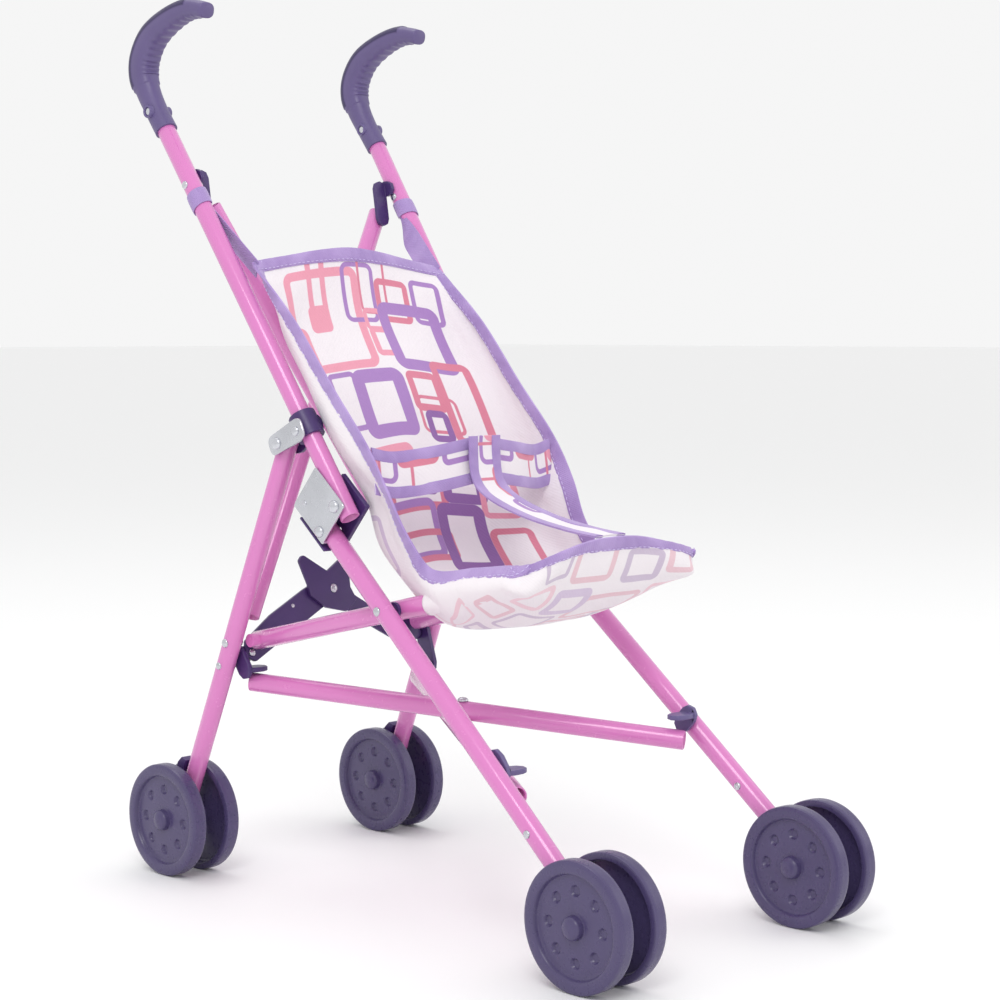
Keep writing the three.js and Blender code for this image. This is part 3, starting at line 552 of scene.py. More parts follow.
for side, label in SIDES:
    line = [Vector((side * HANDLE_HALF, y, z)) for y, z in GRIP_LINE]
    rings, around = 150, 56
    verts, marks = [], []
    for i in range(rings + 1):
        t = i / rings
        centre = through(line, t)
        along = (through(line, min(t + 0.01, 1)) - through(line, max(t - 0.01, 0))).normalized()
        outer_way = along.cross(X_AXIS).normalized()
        if outer_way.y < 0 and outer_way.z < 0:
            outer_way = -outer_way
        wide, deep = through(GRIP_WIDE, t), through(GRIP_DEEP, t)
        if t > 0.985:
            shrink = math.sqrt(max(0.0, 1 - ((t - 0.985) / 0.0155) ** 2)) * 0.25 + 0.75
            wide, deep = wide * shrink, deep * shrink
        step = 0.9 if 0.31 < t < 0.885 else 0.0
        for j in range(around):
            turn = 2 * math.pi * j / around
            x, y = math.cos(turn), math.sin(turn)
            power = 2.6 if t > 0.28 else 2.0
            squareness = (abs(x) ** power + abs(y) ** power) ** (-1 / power)
            width, depth = wide * squareness, deep * squareness
            mark = 0.0
            if y > 0.30 and step:
                depth += step * 0.9
                width += step * 0.4
                mark = 1.0
            if y < -0.45 and 0.36 < t < 0.93:
                depth += 0.9 * (0.5 + 0.5 * math.sin(2 * math.pi * (t - 0.36) / 0.047)) ** 0.7 * min(1, (-y - 0.45) * 3)
            verts.append(centre + X_AXIS * x * width + outer_way * y * depth)
            marks.append(mark)
    faces = []
    for i in range(rings):
        for j in range(around):
            a, b = i * around + j, i * around + (j + 1) % around
            faces.append((a, a + around, b + around, b))
    faces.append(tuple(range(around)))
    faces.append(tuple(rings * around + j for j in range(around)))
    mesh = bpy.data.meshes.new("grip_" + label)
    mesh.from_pydata([v * 0.001 for v in verts], [], faces)
    attribute = mesh.attributes.new("soft_strip", "FLOAT", "POINT")
    attribute.data.foreach_set("value", marks)
    shaped = bmesh.new()
    shaped.from_mesh(mesh)
    bmesh.ops.recalc_face_normals(shaped, faces=shaped.faces)
    shaped.to_mesh(mesh)
    shaped.free()
    mesh.shade_smooth()
    mesh.set_sharp_from_angle(angle=math.radians(42))
    mesh.materials.append(soft_strip)
    grip = bpy.data.objects.new("grip_" + label + "_fine", mesh)
    bpy.context.scene.collection.objects.link(grip)
    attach(grip, "push_" + label)
    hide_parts("grip_" + label)
    # The screw's two raised bosses and its bright head and nut.
    centre = handle_line((HANDLE - KNEE).length + 15, side)
    for way in (X_AXIS, -X_AXIS):
        ring = [(2.6, 5.5), (4.1, 5.5), (4.1, 8.2), (3.7, 8.7), (3.0, 8.7), (2.6, 8.2)]
        boss = piece("grip_boss_%s_%s" % (label, "r" if way.x > 0 else "l"), *turned(ring, centre, way, 32), nylon,
                     "push_" + label)
        screw = piece("grip_screw_%s_%s" % (label, "r" if way.x > 0 else "l"), *dome(centre + way * 7.4, way, 2.5, 0.9),
                      steel, "push_" + label)

# ---- Sling seat ----
# One piece of thin white woven nylon, printed with rounded squares and sewn to a bucket:
# hung from the push tubes at its top corners and slid over the seat rails at the front.
cloth_ring = bpy.data.node_groups.new("rounded_square", "ShaderNodeTree")
socket(cloth_ring, "Vector", "NodeSocketVector")
socket(cloth_ring, "Centre", "NodeSocketVector")
socket(cloth_ring, "Half Size", "NodeSocketVector")
socket(cloth_ring, "Corner", "NodeSocketFloat", value=0.006)
socket(cloth_ring, "Line", "NodeSocketFloat", value=0.004)
socket(cloth_ring, "Colour Below", "NodeSocketColor", value=(1, 1, 1, 1))
socket(cloth_ring, "Ink", "NodeSocketColor", value=(0.5, 0.2, 0.5, 1))
socket(cloth_ring, "Colour", "NodeSocketColor", "OUTPUT")
add = cloth_ring.nodes.new
link = cloth_ring.links.new
given, out = add("NodeGroupInput"), add("NodeGroupOutput")


def vector_step(operation, a, b):
    node = add("ShaderNodeVectorMath")
    node.operation = operation
    for k, value in enumerate((a, b)):
        if value is None:
            continue
        if isinstance(value, tuple):
            node.inputs[k].default_value = value
        else:
            link(value, node.inputs[k])
    return node.outputs["Value"] if operation == "LENGTH" else node.outputs["Vector"]


def number_step(operation, a, b=None):
    node = add("ShaderNodeMath")
    node.operation = operation
    for k, value in enumerate((a, b)):
        if value is None:
            continue
        if isinstance(value, (int, float)):
            node.inputs[k].default_value = value
        else:
            link(value, node.inputs[k])
    return node.outputs[0]


inner_size = vector_step("SUBTRACT", given.outputs["Half Size"], given.outputs["Corner"])
folded = vector_step("ABSOLUTE", vector_step("SUBTRACT", given.outputs["Vector"], given.outputs["Centre"]), None)
past = vector_step("SUBTRACT", folded, inner_size)
flat = vector_step("MULTIPLY", vector_step("MAXIMUM", past, (0, 0, 0)), (1, 1, 0))
split = add("ShaderNodeSeparateXYZ")
link(past, split.inputs[0])
inside = number_step("MINIMUM", number_step("MAXIMUM", split.outputs["X"], split.outputs["Y"]), 0.0)
edge = number_step("SUBTRACT", number_step("ADD", vector_step("LENGTH", flat, None), inside), given.outputs["Corner"])
from_line = number_step("SUBTRACT", number_step("ABSOLUTE", number_step("ADD", edge, given.outputs["Line"])),
                        given.outputs["Line"])
mask = add("ShaderNodeMapRange")
link(from_line, mask.inputs["Value"])
for name, value in (("From Min", -0.0002), ("From Max", 0.0002), ("To Min", 1.0), ("To Max", 0.0)):
    mask.inputs[name].default_value = value
ink = add("ShaderNodeMix")
ink.data_type = "RGBA"
link(mask.outputs[0], ink.inputs["Factor"])
link(given.outputs["Colour Below"], ink.inputs["A"])
link(given.outputs["Ink"], ink.inputs["B"])
link(ink.outputs["Result"], out.inputs["Colour"])

# Plain weave: two crossed sets of fine threads, as a height and as a slight shade.
weave = bpy.data.node_groups.new("plain_weave", "ShaderNodeTree")
socket(weave, "Vector", "NodeSocketVector")
socket(weave, "Threads", "NodeSocketFloat", value=2200)
socket(weave, "Height", "NodeSocketFloat", "OUTPUT")
socket(weave, "Creases", "NodeSocketFloat", "OUTPUT")
add = weave.nodes.new
link = weave.links.new
given, out = add("NodeGroupInput"), add("NodeGroupOutput")
split = add("ShaderNodeSeparateXYZ")
link(given.outputs["Vector"], split.inputs[0])
warp = number_step("SINE", number_step("MULTIPLY", split.outputs["X"], given.outputs["Threads"]))
weft = number_step("SINE", number_step("MULTIPLY", split.outputs["Y"], given.outputs["Threads"]))
link(number_step("MULTIPLY", warp, weft), out.inputs["Height"])
creases = add("ShaderNodeTexNoise")
creases.inputs["Scale"].default_value = 45
creases.inputs["Detail"].default_value = 5
creases.inputs["Distortion"].default_value = 0.8
link(given.outputs["Vector"], creases.inputs["Vector"])
link(creases.outputs["Fac"], out.inputs["Creases"])

ROSE = (0.66, 0.20, 0.29, 1)
BLUSH = (0.78, 0.31, 0.41, 1)
PLUM = (0.26, 0.12, 0.36, 1)
LILAC = (0.37, 0.20, 0.50, 1)
# Each printed shape: centre across and down, half width and height, corner, half the line, ink; in millimetres.
PRINT = [
    (-28, 46, 32, 35, 8, 3.0, BLUSH), (-31, 22, 8, 20, 6, 2.2, BLUSH), (-32, 44, 9, 9, 4, 8.0, BLUSH),
    (4, 28, 14, 20, 6, 1.6, LILAC), (16, 22, 12, 20, 5, 1.0, ROSE), (12, 46, 8, 8, 4, 1.6, BLUSH),
    (14, 62, 9, 11, 4, 2.2, BLUSH), (32, 32, 14, 15, 5, 2.2, ROSE), (42, 58, 25, 25, 8, 4.2, LILAC),
    (60, 30, 12, 16, 5, 1.8, LILAC), (-4, 106, 21, 24, 8, 4.8, LILAC), (-34, 102, 13, 20, 5, 1.8, LILAC),
    (32, 98, 13, 14, 5, 2.6, ROSE), (37, 114, 16, 13, 5, 1.2, ROSE), (34, 122, 9, 11, 5, 2.4, PLUM),
    (58, 104, 15, 30, 6, 2.8, ROSE), (-58, 74, 12, 26, 6, 3.2, BLUSH), (-66, 128, 14, 17, 5, 2.2, PLUM),
    (-18, 150, 22, 15, 5, 15, BLUSH), (-4, 163, 25, 18, 6, 2.8, ROSE), (0, 158, 14, 13, 4, 13, PLUM),
    (-36, 156, 9, 18, 4, 1.5, PLUM), (34, 158, 16, 18, 5, 3.4, PLUM), (58, 166, 13, 19, 5, 2.0, BLUSH),
    (-14, 193, 24, 20, 7, 2.6, LILAC), (-8, 204, 27, 11, 5, 2.2, ROSE), (28, 200, 18, 24, 7, 4.0, PLUM),
    (-48, 198, 12, 16, 5, 2.4, BLUSH), (60, 212, 14, 20, 6, 2.2, ROSE), (-70, 196, 12, 22, 5, 2.0, LILAC),
    (-22, 240, 18, 15, 5, 2.6, PLUM), (14, 246, 22, 18, 6, 2.4, BLUSH), (50, 248, 15, 15, 5, 3.2, PLUM),
    (-56, 250, 17, 20, 6, 2.2, ROSE), (-6, 282, 25, 17, 6, 3.4, LILAC), (38, 286, 16, 14, 5, 2.0, ROSE),
    (-44, 290, 13, 12, 5, 3.0, PLUM), (70, 282, 13, 20, 5, 2.4, LILAC), (-76, 284, 11, 22, 5, 2.0, BLUSH),
    (6, 318, 18, 14, 5, 2.2, ROSE), (-30, 326, 19, 16, 6, 1.8, PLUM), (44, 324, 20, 17, 6, 2.6, PLUM),
    (-66, 330, 14, 13, 5, 2.2, ROSE), (16, 350, 24, 15, 6, 2.0, ROSE), (-20, 358, 16, 13, 5, 3.0, LILAC),
    (56, 356, 14, 13, 5, 1.8, BLUSH), (-54, 362, 15, 14, 5, 2.4, BLUSH), (30, 384, 15, 12, 5, 2.4, PLUM),
    (-12, 388, 18, 13, 5, 2.2, ROSE), (-46, 390, 13, 10, 4, 1.8, PLUM), (60, 390, 12, 11, 4, 2.4, ROSE),
]


def printed_cloth(name, fade, shift):
    """White nylon with the print at a given strength, moved by shift in millimetres."""
    material = bpy.data.materials.new(name)
    material.use_nodes = True
    nodes, links = material.node_tree.nodes, material.node_tree.links
    shader = nodes["Principled BSDF"]
    shader.inputs["Roughness"].default_value = 0.62
    shader.inputs["Sheen Weight"].default_value = 0.25
    where = nodes.new("ShaderNodeUVMap")
    where.uv_map = "cut"
    white = (0.82, 0.77, 0.80, 1)
    colour = None
    for x, y, half_x, half_y, corner, line, paint in PRINT:
        ring = nodes.new("ShaderNodeGroup")
        ring.node_tree = cloth_ring
        ring.inputs["Centre"].default_value = ((x + shift[0]) / 1000, (y + shift[1]) / 1000, 0)
        ring.inputs["Half Size"].default_value = (half_x / 1000, half_y / 1000, 0)
        ring.inputs["Corner"].default_value = corner / 1000
        ring.inputs["Line"].default_value = line / 1000
        mixed = [white[k] + (paint[k] - white[k]) * fade for k in range(3)]
        ring.inputs["Ink"].default_value = (*mixed, 1)
        links.new(where.outputs["UV"], ring.inputs["Vector"])
        if colour:
            links.new(colour, ring.inputs["Colour Below"])
        else:
            ring.inputs["Colour Below"].default_value = white
        colour = ring.outputs["Colour"]
    threads = nodes.new("ShaderNodeGroup")
    threads.node_tree = weave
    links.new(where.outputs["UV"], threads.inputs["Vector"])
    links.new(colour, shader.inputs["Base Color"])
    fine = nodes.new("ShaderNodeBump")
    fine.inputs["Strength"].default_value = 0.25
    fine.inputs["Distance"].default_value = 0.0002
    soft = nodes.new("ShaderNodeBump")
    soft.inputs["Strength"].default_value = 0.5
    soft.inputs["Distance"].default_value = 0.002
    links.new(threads.outputs["Creases"], soft.inputs["Height"])
    links.new(threads.outputs["Height"], fine.inputs["Height"])
    links.new(soft.outputs["Normal"], fine.inputs["Normal"])
    links.new(fine.outputs["Normal"], shader.inputs["Normal"])
    return material


face_side = printed_cloth("printed_fabric", 1.0, (0, 0))
back_side = printed_cloth("printed_fabric_reverse", 0.45, (0, 0))

# Sections of the bucket from the left edge to the middle, from the top hem to the front edge.
SECTIONS = [
    [(-79, 116.7, 391), (-72, 117.5, 392.5), (-50, 118, 396), (-25, 117, 400), (0, 116.5, 402)],
    [(-80, 77, 356), (-78.5, 89, 353.5), (-69, 101, 353), (-37, 106.5, 357), (0, 108, 359)],
    [(-80, 43, 317), (-78.5, 58, 314), (-69, 73, 313), (-37, 82, 317), (0, 85, 319)],
    [(-80, 12, 283), (-77, 31, 280), (-68, 50, 279), (-37, 64, 283), (0, 68, 286)],
    [(-79, -6, 256), (-71, 8, 251), (-64, 28, 249), (-35, 47, 252), (0, 52, 255)],
    [(-76, -20, 230), (-70, -7, 222), (-62, 12, 216), (-34, 34, 214), (0, 39, 216)],
    [(-74, -40, 211), (-77, -42, 200), (-66, -42, 185), (-35, -8, 178), (0, 5, 177)],
    [(-71, -72, 214), (-77, -70, 203), (-66, -67, 191), (-35, -56, 178), (0, -51, 175)],
    [(-70, -96, 217), (-76.5, -97, 208), (-64, -98, 199), (-35, -93, 192), (0, -91, 190)],
    [(-71, -103, 217.5), (-77, -108, 208.5), (-68, -114.5, 204.5), (-36, -107, 207), (0, -105, 207)],
    [(-70, -108, 218.5), (-68, -113.5, 219.5), (-50, -115, 224), (-23, -115, 229), (0, -115, 230)],
]
across, along = 96, 150
half = [[Vector(p) for p in section] for section in SECTIONS]
full = [section + [Vector((-p.x, p.y, p.z)) for p in reversed(section[:-1])] for section in half]
columns = [[section[k] for section in full] for k in range(9)]


def seat_point(u, v):
    """A point of the unwrinkled bucket: u from the left edge to the right, v from the top to the front."""
    return through([through(column, v) for column in columns], u)


def seat_normal(u, v):
    a, b = max(u - 0.01, 0), min(u + 0.01, 1)
    c, d = max(v - 0.01, 0), min(v + 0.01, 1)
    over = seat_point(b, v) - seat_point(a, v)
    down = seat_point(u, d) - seat_point(u, c)
    return over.cross(down).normalized()


grid, cut = [], []
for i in range(along + 1):
    v = i / along
    row = [seat_point(j / across, v) for j in range(across + 1)]
    spans = [0.0]
    for j in range(across):
        spans.append(spans[-1] + (row[j + 1] - row[j]).length)
    for j, point in enumerate(row):
        u = j / across
        edge = min(1, max(0, min(u, 1 - u) - 0.04) / 0.06) * min(1, max(0, min(v, 1 - v) - 0.025) / 0.05)
        slack = noise.noise(Vector((u * 5.5, v * 4.2, 0.3))) * 3.0 + noise.noise(Vector((u * 13, v * 9, 2.7))) * 1.1
        pull = math.sin(abs(u - 0.5) * 26 + v * 19) * 0.5 * (1 - v)
        grid.append(point + seat_normal(u, v) * (slack + pull) * edge)
        cut.append((spans[j] - spans[-1] / 2, 0))
lengths = [0.0]
for i in range(along):
    a, b = grid[i * (across + 1) + across // 2], grid[(i + 1) * (across + 1) + across // 2]
    lengths.append(lengths[-1] + (b - a).length)
cut = [(x / 1000, lengths[k // (across + 1)] / 1000) for k, (x, _) in enumerate(cut)]
# The two halves meet on the centre line, each made as a mesh of its own.
sewn, sling_halves = [], []
for side, label in SIDES:
    first = 0 if side < 0 else across // 2
    faces = []
    for i in range(along):
        for j in range(first, first + across // 2):
            a = i * (across + 1) + j
            faces.append((a, a + 1, a + across + 2, a + across + 1))
    mesh = bpy.data.meshes.new("seat_sling_cloth_" + label)
    mesh.from_pydata([v * 0.001 for v in grid], [], faces)
    uv = mesh.uv_layers.new(name="cut")
    for loop in mesh.loops:
        uv.data[loop.index].uv = cut[loop.vertex_index]
    loose = bmesh.new()
    loose.from_mesh(mesh)
    bmesh.ops.delete(loose, geom=[v for v in loose.verts if not v.link_faces], context="VERTS")
    loose.to_mesh(mesh)
    loose.free()
    if mesh.polygons[(along // 3) * (across // 2) + across // 4].normal.y > 0:
        mesh.flip_normals()
    mesh.materials.append(face_side)
    mesh.materials.append(back_side)
    flat_half = bpy.data.objects.new("seat_sling_half", mesh)
    bpy.context.scene.collection.objects.link(flat_half)
    wall = flat_half.modifiers.new("cloth", "SOLIDIFY")
    wall.thickness = 0.0007
    wall.offset = -1
    wall.material_offset = 1
    wall.material_offset_rim = 1
    made = bpy.data.meshes.new_from_object(flat_half.evaluated_get(bpy.context.evaluated_depsgraph_get()))
    bpy.data.objects.remove(flat_half)
    made.name = "seat_sling_cloth_" + label
    made.shade_smooth()
    made.set_sharp_from_angle(angle=math.radians(50))
    sling = bpy.data.objects.new("seat_sling_cloth_" + label, made)
    bpy.context.scene.collection.objects.link(sling)
    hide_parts("seat_sling")
    sewn.append(sling)
    sling_halves.append(sling)

# ---- Binding ----
# Lavender woven tape, folded over the raw edge all the way round and stitched through both sides.
# It puckers slightly between its stitches.
tape = bpy.data.materials.new("lavender_tape")
tape.use_nodes = True
nodes, links = tape.node_tree.nodes, tape.node_tree.links
shader = nodes["Principled BSDF"]
shader.inputs["Roughness"].default_value = 0.7
shader.inputs["Sheen Weight"].default_value = 0.3
where = nodes.new("ShaderNodeUVMap")
where.uv_map = "cut"
threads = nodes.new("ShaderNodeGroup")
threads.node_tree = weave
threads.inputs["Threads"].default_value = 3600
links.new(where.outputs["UV"], threads.inputs["Vector"])
shades = nodes.new("ShaderNodeMapRange")
for name, value in (("From Min", 0.3), ("From Max", 0.7), ("To Min", 0.0), ("To Max", 1.0)):
    shades.inputs[name].default_value = value
links.new(threads.outputs["Creases"], shades.inputs["Value"])
tint = nodes.new("ShaderNodeMix")
tint.data_type = "RGBA"
tint.inputs["A"].default_value = (0.33, 0.215, 0.50, 1)
tint.inputs["B"].default_value = (0.44, 0.31, 0.62, 1)
links.new(shades.outputs[0], tint.inputs["Factor"])
links.new(tint.outputs["Result"], shader.inputs["Base Color"])
relief = nodes.new("ShaderNodeBump")
relief.inputs["Strength"].default_value = 0.4
relief.inputs["Distance"].default_value = 0.0003
links.new(threads.outputs["Height"], relief.inputs["Height"])
links.new(relief.outputs["Normal"], shader.inputs["Normal"])


def ribbon(name, rows, thick, material, body):
    """A closed band from rows of points across it, with its length and width kept as the cut map."""
    n = len(rows[0])
    verts, places, normals = [], [], []
    for i, row in enumerate(rows):
        ahead, behind = rows[min(i + 1, len(rows) - 1)], rows[max(i - 1, 0)]
        way = (ahead[n // 2] - behind[n // 2]).normalized()
        normals.append([(row[min(k + 1, n - 1)] - row[max(k - 1, 0)]).cross(way).normalized() for k in range(n)])
    for level in (0.5, -0.5):
        run = 0.0
        for i, row in enumerate(rows):
            if i:
                run += (row[n // 2] - rows[i - 1][n // 2]).length
            width = 0.0
            for k, p in enumerate(row):
                if k:
                    width += (p - row[k - 1]).length
                taper = 0.55 if k in (0, n - 1) else 1.0
                verts.append(p + normals[i][k] * thick * level * taper)
                places.append((run / 1000, width / 1000))
    faces = []
    size = len(rows) * n
    for i in range(len(rows) - 1):
        for k in range(n - 1):
            a = i * n + k
            faces.append((a, a + 1, a + n + 1, a + n))
            faces.append((size + a, size + a + n, size + a + n + 1, size + a + 1))
        for k, flip in ((0, False), (n - 1, True)):
            a = i * n + k
            quad = (a, a + n, size + a + n, size + a)
            faces.append(quad[::-1] if flip else quad)
    for i, flip in ((0, True), (len(rows) - 1, False)):
        for k in range(n - 1):
            a = i * n + k
            quad = (a, a + 1, size + a + 1, size + a)
            faces.append(quad[::-1] if flip else quad)
    mesh = bpy.data.meshes.new(name)
    mesh.from_pydata([v * 0.001 for v in verts], [], faces)
    uv = mesh.uv_layers.new(name="cut")
    for loop in mesh.loops:
        uv.data[loop.index].uv = places[loop.vertex_index]
    turned_out = bmesh.new()
    turned_out.from_mesh(mesh)
    bmesh.ops.recalc_face_normals(turned_out, faces=turned_out.faces)
    turned_out.to_mesh(mesh)
    turned_out.free()
    mesh.shade_smooth()
    mesh.set_sharp_from_angle(angle=math.radians(60))
    mesh.materials.append(material)
    obj = bpy.data.objects.new(name, mesh)
    bpy.context.scene.collection.objects.link(obj)
    if body:
        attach(obj, body)
    else:
        sewn.append(obj)
    return obj


TAPE_WIDE = 9.0
rims = {
    "rim_left": ((1, 0), [(0, 0.004 + 0.985 * i / 220) for i in range(221)]),
    "rim_right": ((-1, 0), [(1, 0.004 + 0.985 * i / 220) for i in range(221)]),
    "top_left": ((0, 1), [(0.5 * i / 60, 0) for i in range(61)]),
    "top_right": ((0, 1), [(0.5 + 0.5 * i / 60, 0) for i in range(61)]),
    "front_left": ((0, -1), [(0.012 + 0.488 * i / 60, 1) for i in range(61)]),
    "front_right": ((0, -1), [(0.5 + 0.488 * i / 60, 1) for i in range(61)]),
}
for edge_name, ((du, dv), path) in rims.items():
    rows = []
    for count, (u, v) in enumerate(path):
        start = seat_point(u, v)
        into = (seat_point(min(max(u + du * 0.06, 0), 1), min(max(v + dv * 0.03, 0), 1)) - start).normalized()
        ends = min(1, count / 12, (len(path) - 1 - count) / 12)
        pucker = (0.35 * math.sin(count * 0.9) + 0.2 * math.sin(count * 2.3)) * ends
        row = [start + into * (TAPE_WIDE * (k / 5) - 1.2) for k in range(6)]
        lift = seat_normal(min(max(u, 0.02), 0.98), min(max(v, 0.02), 0.98))
        rows.append([p + lift * pucker * (k / 5) * 0.6 for k, p in enumerate(row)])
    band = ribbon("binding_" + edge_name, rows, 2.3, tape, None)

# ---- Rail casings ----
# Tubes of the same cloth sewn along the seat's front sides and slid over the seat rails.
# Each is closed at the front, so that the rail's end pushes into it.
CASING_START = 33  # how far in front of the middle each casing begins
for side, label in SIDES:
    rail_foot, rail_end = (end + X_AXIS * side * RAIL_HALF for end in (RAIL_REAR, RAIL_TIP))
    way = (rail_end - rail_foot).normalized()
    up = X_AXIS.cross(way).normalized()
    if up.z < 0:
        up = -up
    begin = rail_foot + way * ((rail_foot.y + CASING_START) / -way.y)
    length = (rail_end - begin).dot(way) + 2.0
    steps, around = 70, 40
    verts, places = [], []
    for i in range(steps + 1):
        t = i / steps
        reach = t * length
        radius = 7.0
        if length - reach < 7.0:
            radius *= math.sqrt(max(0.003, 1 - (1 - (length - reach) / 7.0) ** 2))
        if i == 0:
            radius = 7.2
        for j in range(around):
            turn = 2 * math.pi * j / around
            seed = Vector((side * 3 + math.cos(turn) * 0.9, math.sin(turn) * 0.9, reach * 0.09))
            wrinkle = noise.noise(seed) * 0.45 * min(1, radius / 7)
            out = X_AXIS * math.cos(turn) + up * math.sin(turn)
            verts.append(begin + way * reach + out * (radius + wrinkle))
            places.append((turn * 7 / 1000 + 1.0, reach / 1000 + 1.0))
    faces = []
    for i in range(steps):
        for j in range(around):
            a, b = i * around + j, i * around + (j + 1) % around
            faces.append((a, b, b + around, a + around))
    inner = len(verts)
    for j in range(around):
        turn = 2 * math.pi * j / around
        verts.append(begin + (X_AXIS * math.cos(turn) + up * math.sin(turn)) * 6.3)
        places.append((turn * 7 / 1000 + 1.0, 1.0))
    for j in range(around):
        turn = 2 * math.pi * j / around
        verts.append(begin + way * 16 + (X_AXIS * math.cos(turn) + up * math.sin(turn)) * 6.15)
        places.append((turn * 7 / 1000 + 1.0, 1.02))
    for j in range(around):
        k = (j + 1) % around
        faces.append((j, inner + j, inner + k, k))
        faces.append((inner + j, inner + around + j, inner + around + k, inner + k))
    faces.append(tuple(inner + around + j for j in range(around)))
    faces.append(tuple(steps * around + j for j in range(around)))
    mesh = bpy.data.meshes.new("rail_casing_" + label)
    mesh.from_pydata([v * 0.001 for v in verts], [], faces)
    uv = mesh.uv_layers.new(name="cut")
    for loop in mesh.loops:
        uv.data[loop.index].uv = places[loop.vertex_index]
    turned_out = bmesh.new()
    turned_out.from_mesh(mesh)
    bmesh.ops.recalc_face_normals(turned_out, faces=turned_out.faces)
    turned_out.to_mesh(mesh)
    turned_out.free()
    mesh.shade_smooth()
    mesh.materials.append(back_side)
    casing = bpy.data.objects.new("rail_casing_" + label, mesh)
    bpy.context.scene.collection.objects.link(casing)
    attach(casing, "rail_" + label)

# ---- Waist belt and crotch strap ----
# Strips of the printed cloth, each with the lavender tape folded over both long edges.
# The belt crosses the lap from wing to wing and the crotch strap is sewn to its middle.


def smooth_path(points, count):
    return [through([Vector(p) for p in points], i / count) for i in range(count + 1)]


def strap(name, path, width_way, wide, body, node, printed, tape_wide=7.0, slack=0.6):
    """A strip along a path with taped edges; width_way gives the direction across it at each share of the way."""
    rows, left_rows, right_rows = [], [], []
    last = len(path) - 1
    for i, p in enumerate(path):
        t = i / last
        over = width_way(t).normalized()
        way = (path[min(i + 1, last)] - path[max(i - 1, 0)]).normalized()
        out = over.cross(way).normalized()
        wave = slack * math.sin(i * 0.35) + slack * 0.7 * math.sin(i * 0.13 + 1)
        row = []
        for k in range(9):
            s = k / 8 - 0.5
            row.append(p + over * s * wide + out * (wave * (1 - 2 * abs(s)) * 0.8))
        rows.append(row)
        left_rows.append([row[0].lerp(row[-1], (k / 4) * tape_wide / wide - 0.6 / wide) for k in range(5)])
        right_rows.append([row[-1].lerp(row[0], (k / 4) * tape_wide / wide - 0.6 / wide) for k in range(5)])
    band = ribbon(name, rows, 0.8, face_side if printed else tape, body)
    if node:
        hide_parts(*node)
    if printed:
        for k, edge_rows in enumerate((left_rows, right_rows)):
            edging = ribbon("%s_edge_%d" % (name, k), edge_rows, 1.9, tape, body)


for side, label in SIDES:
    v_wing = min((i / 400 for i in range(401)), key=lambda v: abs(seat_point(0.07, v).z - 267))
    wing_end = seat_point(0.07, v_wing)
    wing_end = Vector((side * (abs(wing_end.x) - 1.2), wing_end.y - 1.0, wing_end.z))
    wing = smooth_path([wing_end, (side * 60, 7, 264), (side * 34, -2, 267), (side * 1.0, -5, 272)], 60)
    strap("waist_belt_%s_cloth" % label, wing, lambda t: Vector((0, 0.15, 1)), 27, None,
          ["waist_belt_" + label], True, slack=0.5)
drop_path = smooth_path([(0, -7.5, 286), (0, -9.5, 262), (0, -22, 250), (0, -52, 240), (0, -86, 234),
                         (0, -111, 231.5)], 80)
strap("crotch_strap_cloth", drop_path, lambda t: X_AXIS, 25, None, ["crotch_strap"], True, slack=0.7)

# ---- Hanging straps ----
# Lavender webbing sewn to the seat's top corners, passed round each push tube and stitched back on itself.
for side, label in SIDES:
    def tube_point(z):
        share = (z - KNEE.z) / (HANDLE.z - KNEE.z)
        at = KNEE.lerp(HANDLE, share)
        return Vector((side * (KNEE_HALF + (HANDLE_HALF - KNEE_HALF) * share), at.y, at.z))

    corner = Vector((side * 75, 117.5, 391.5))
    at = tube_point(431)
    loop_way = (tube_point(440) - tube_point(430)).normalized()
    radial = loop_way.cross(X_AXIS).normalized()
    if radial.y > 0:
        radial = -radial
    rows = []
    count = 26
    for i in range(count + 1):
        turn = -0.55 * math.pi + 2.0 * math.pi * i / count * 0.93
        out = (X_AXIS * side * math.cos(turn) + radial * math.sin(turn)).normalized()
        centre = at + loop_way * (i / count * 5.0 - 2)
        rows.append([centre + out * 6.6 + loop_way * (k / 4 - 0.5) * 11 for k in range(5)])
    loop = ribbon("hanging_loop_" + label, rows, 0.9, tape, "push_" + label)
    start = at + Vector((-side * 5.5, 1.5, -3))
    path = smooth_path([start, start.lerp(corner, 0.35) + Vector((0, 1.5, -1)),
                        start.lerp(corner, 0.7) + Vector((0, 1.5, -2)), corner + Vector((0, 0, -4))], 44)

    def across_strap(t):
        return loop_way.lerp(Vector((side * 0.35, -0.62, 0.70)), min(1, t * 2.2))

    strap("hanging_strap_%s_web" % label, path, across_strap, 14, "push_" + label,
          ["hanging_strap_" + label], False, slack=0.35)

# ---- Stitches ----
# Runs of pale lilac thread through the binding, near its inner edge, on both faces of the cloth.
# One stitch is made once and repeated along each seam line.
thread = bpy.data.materials.new("thread")
thread.use_nodes = True
thread.node_tree.nodes["Principled BSDF"].inputs["Base Color"].default_value = (0.62, 0.52, 0.80, 1)
thread.node_tree.nodes["Principled BSDF"].inputs["Roughness"].default_value = 0.55
run_of = bpy.data.node_groups.new("run_of_stitches", "GeometryNodeTree")
socket(run_of, "Geometry", "NodeSocketGeometry")
socket(run_of, "Stitch", "NodeSocketFloat", value=0.0026)
socket(run_of, "Gap", "NodeSocketFloat", value=0.0036)
socket(run_of, "Thread", "NodeSocketFloat", value=0.00028)
socket(run_of, "Material", "NodeSocketMaterial")
socket(run_of, "Geometry", "NodeSocketGeometry", "OUTPUT")
add = run_of.nodes.new
link = run_of.links.new
given, out = add("NodeGroupInput"), add("NodeGroupOutput")
as_curve = add("GeometryNodeMeshToCurve")
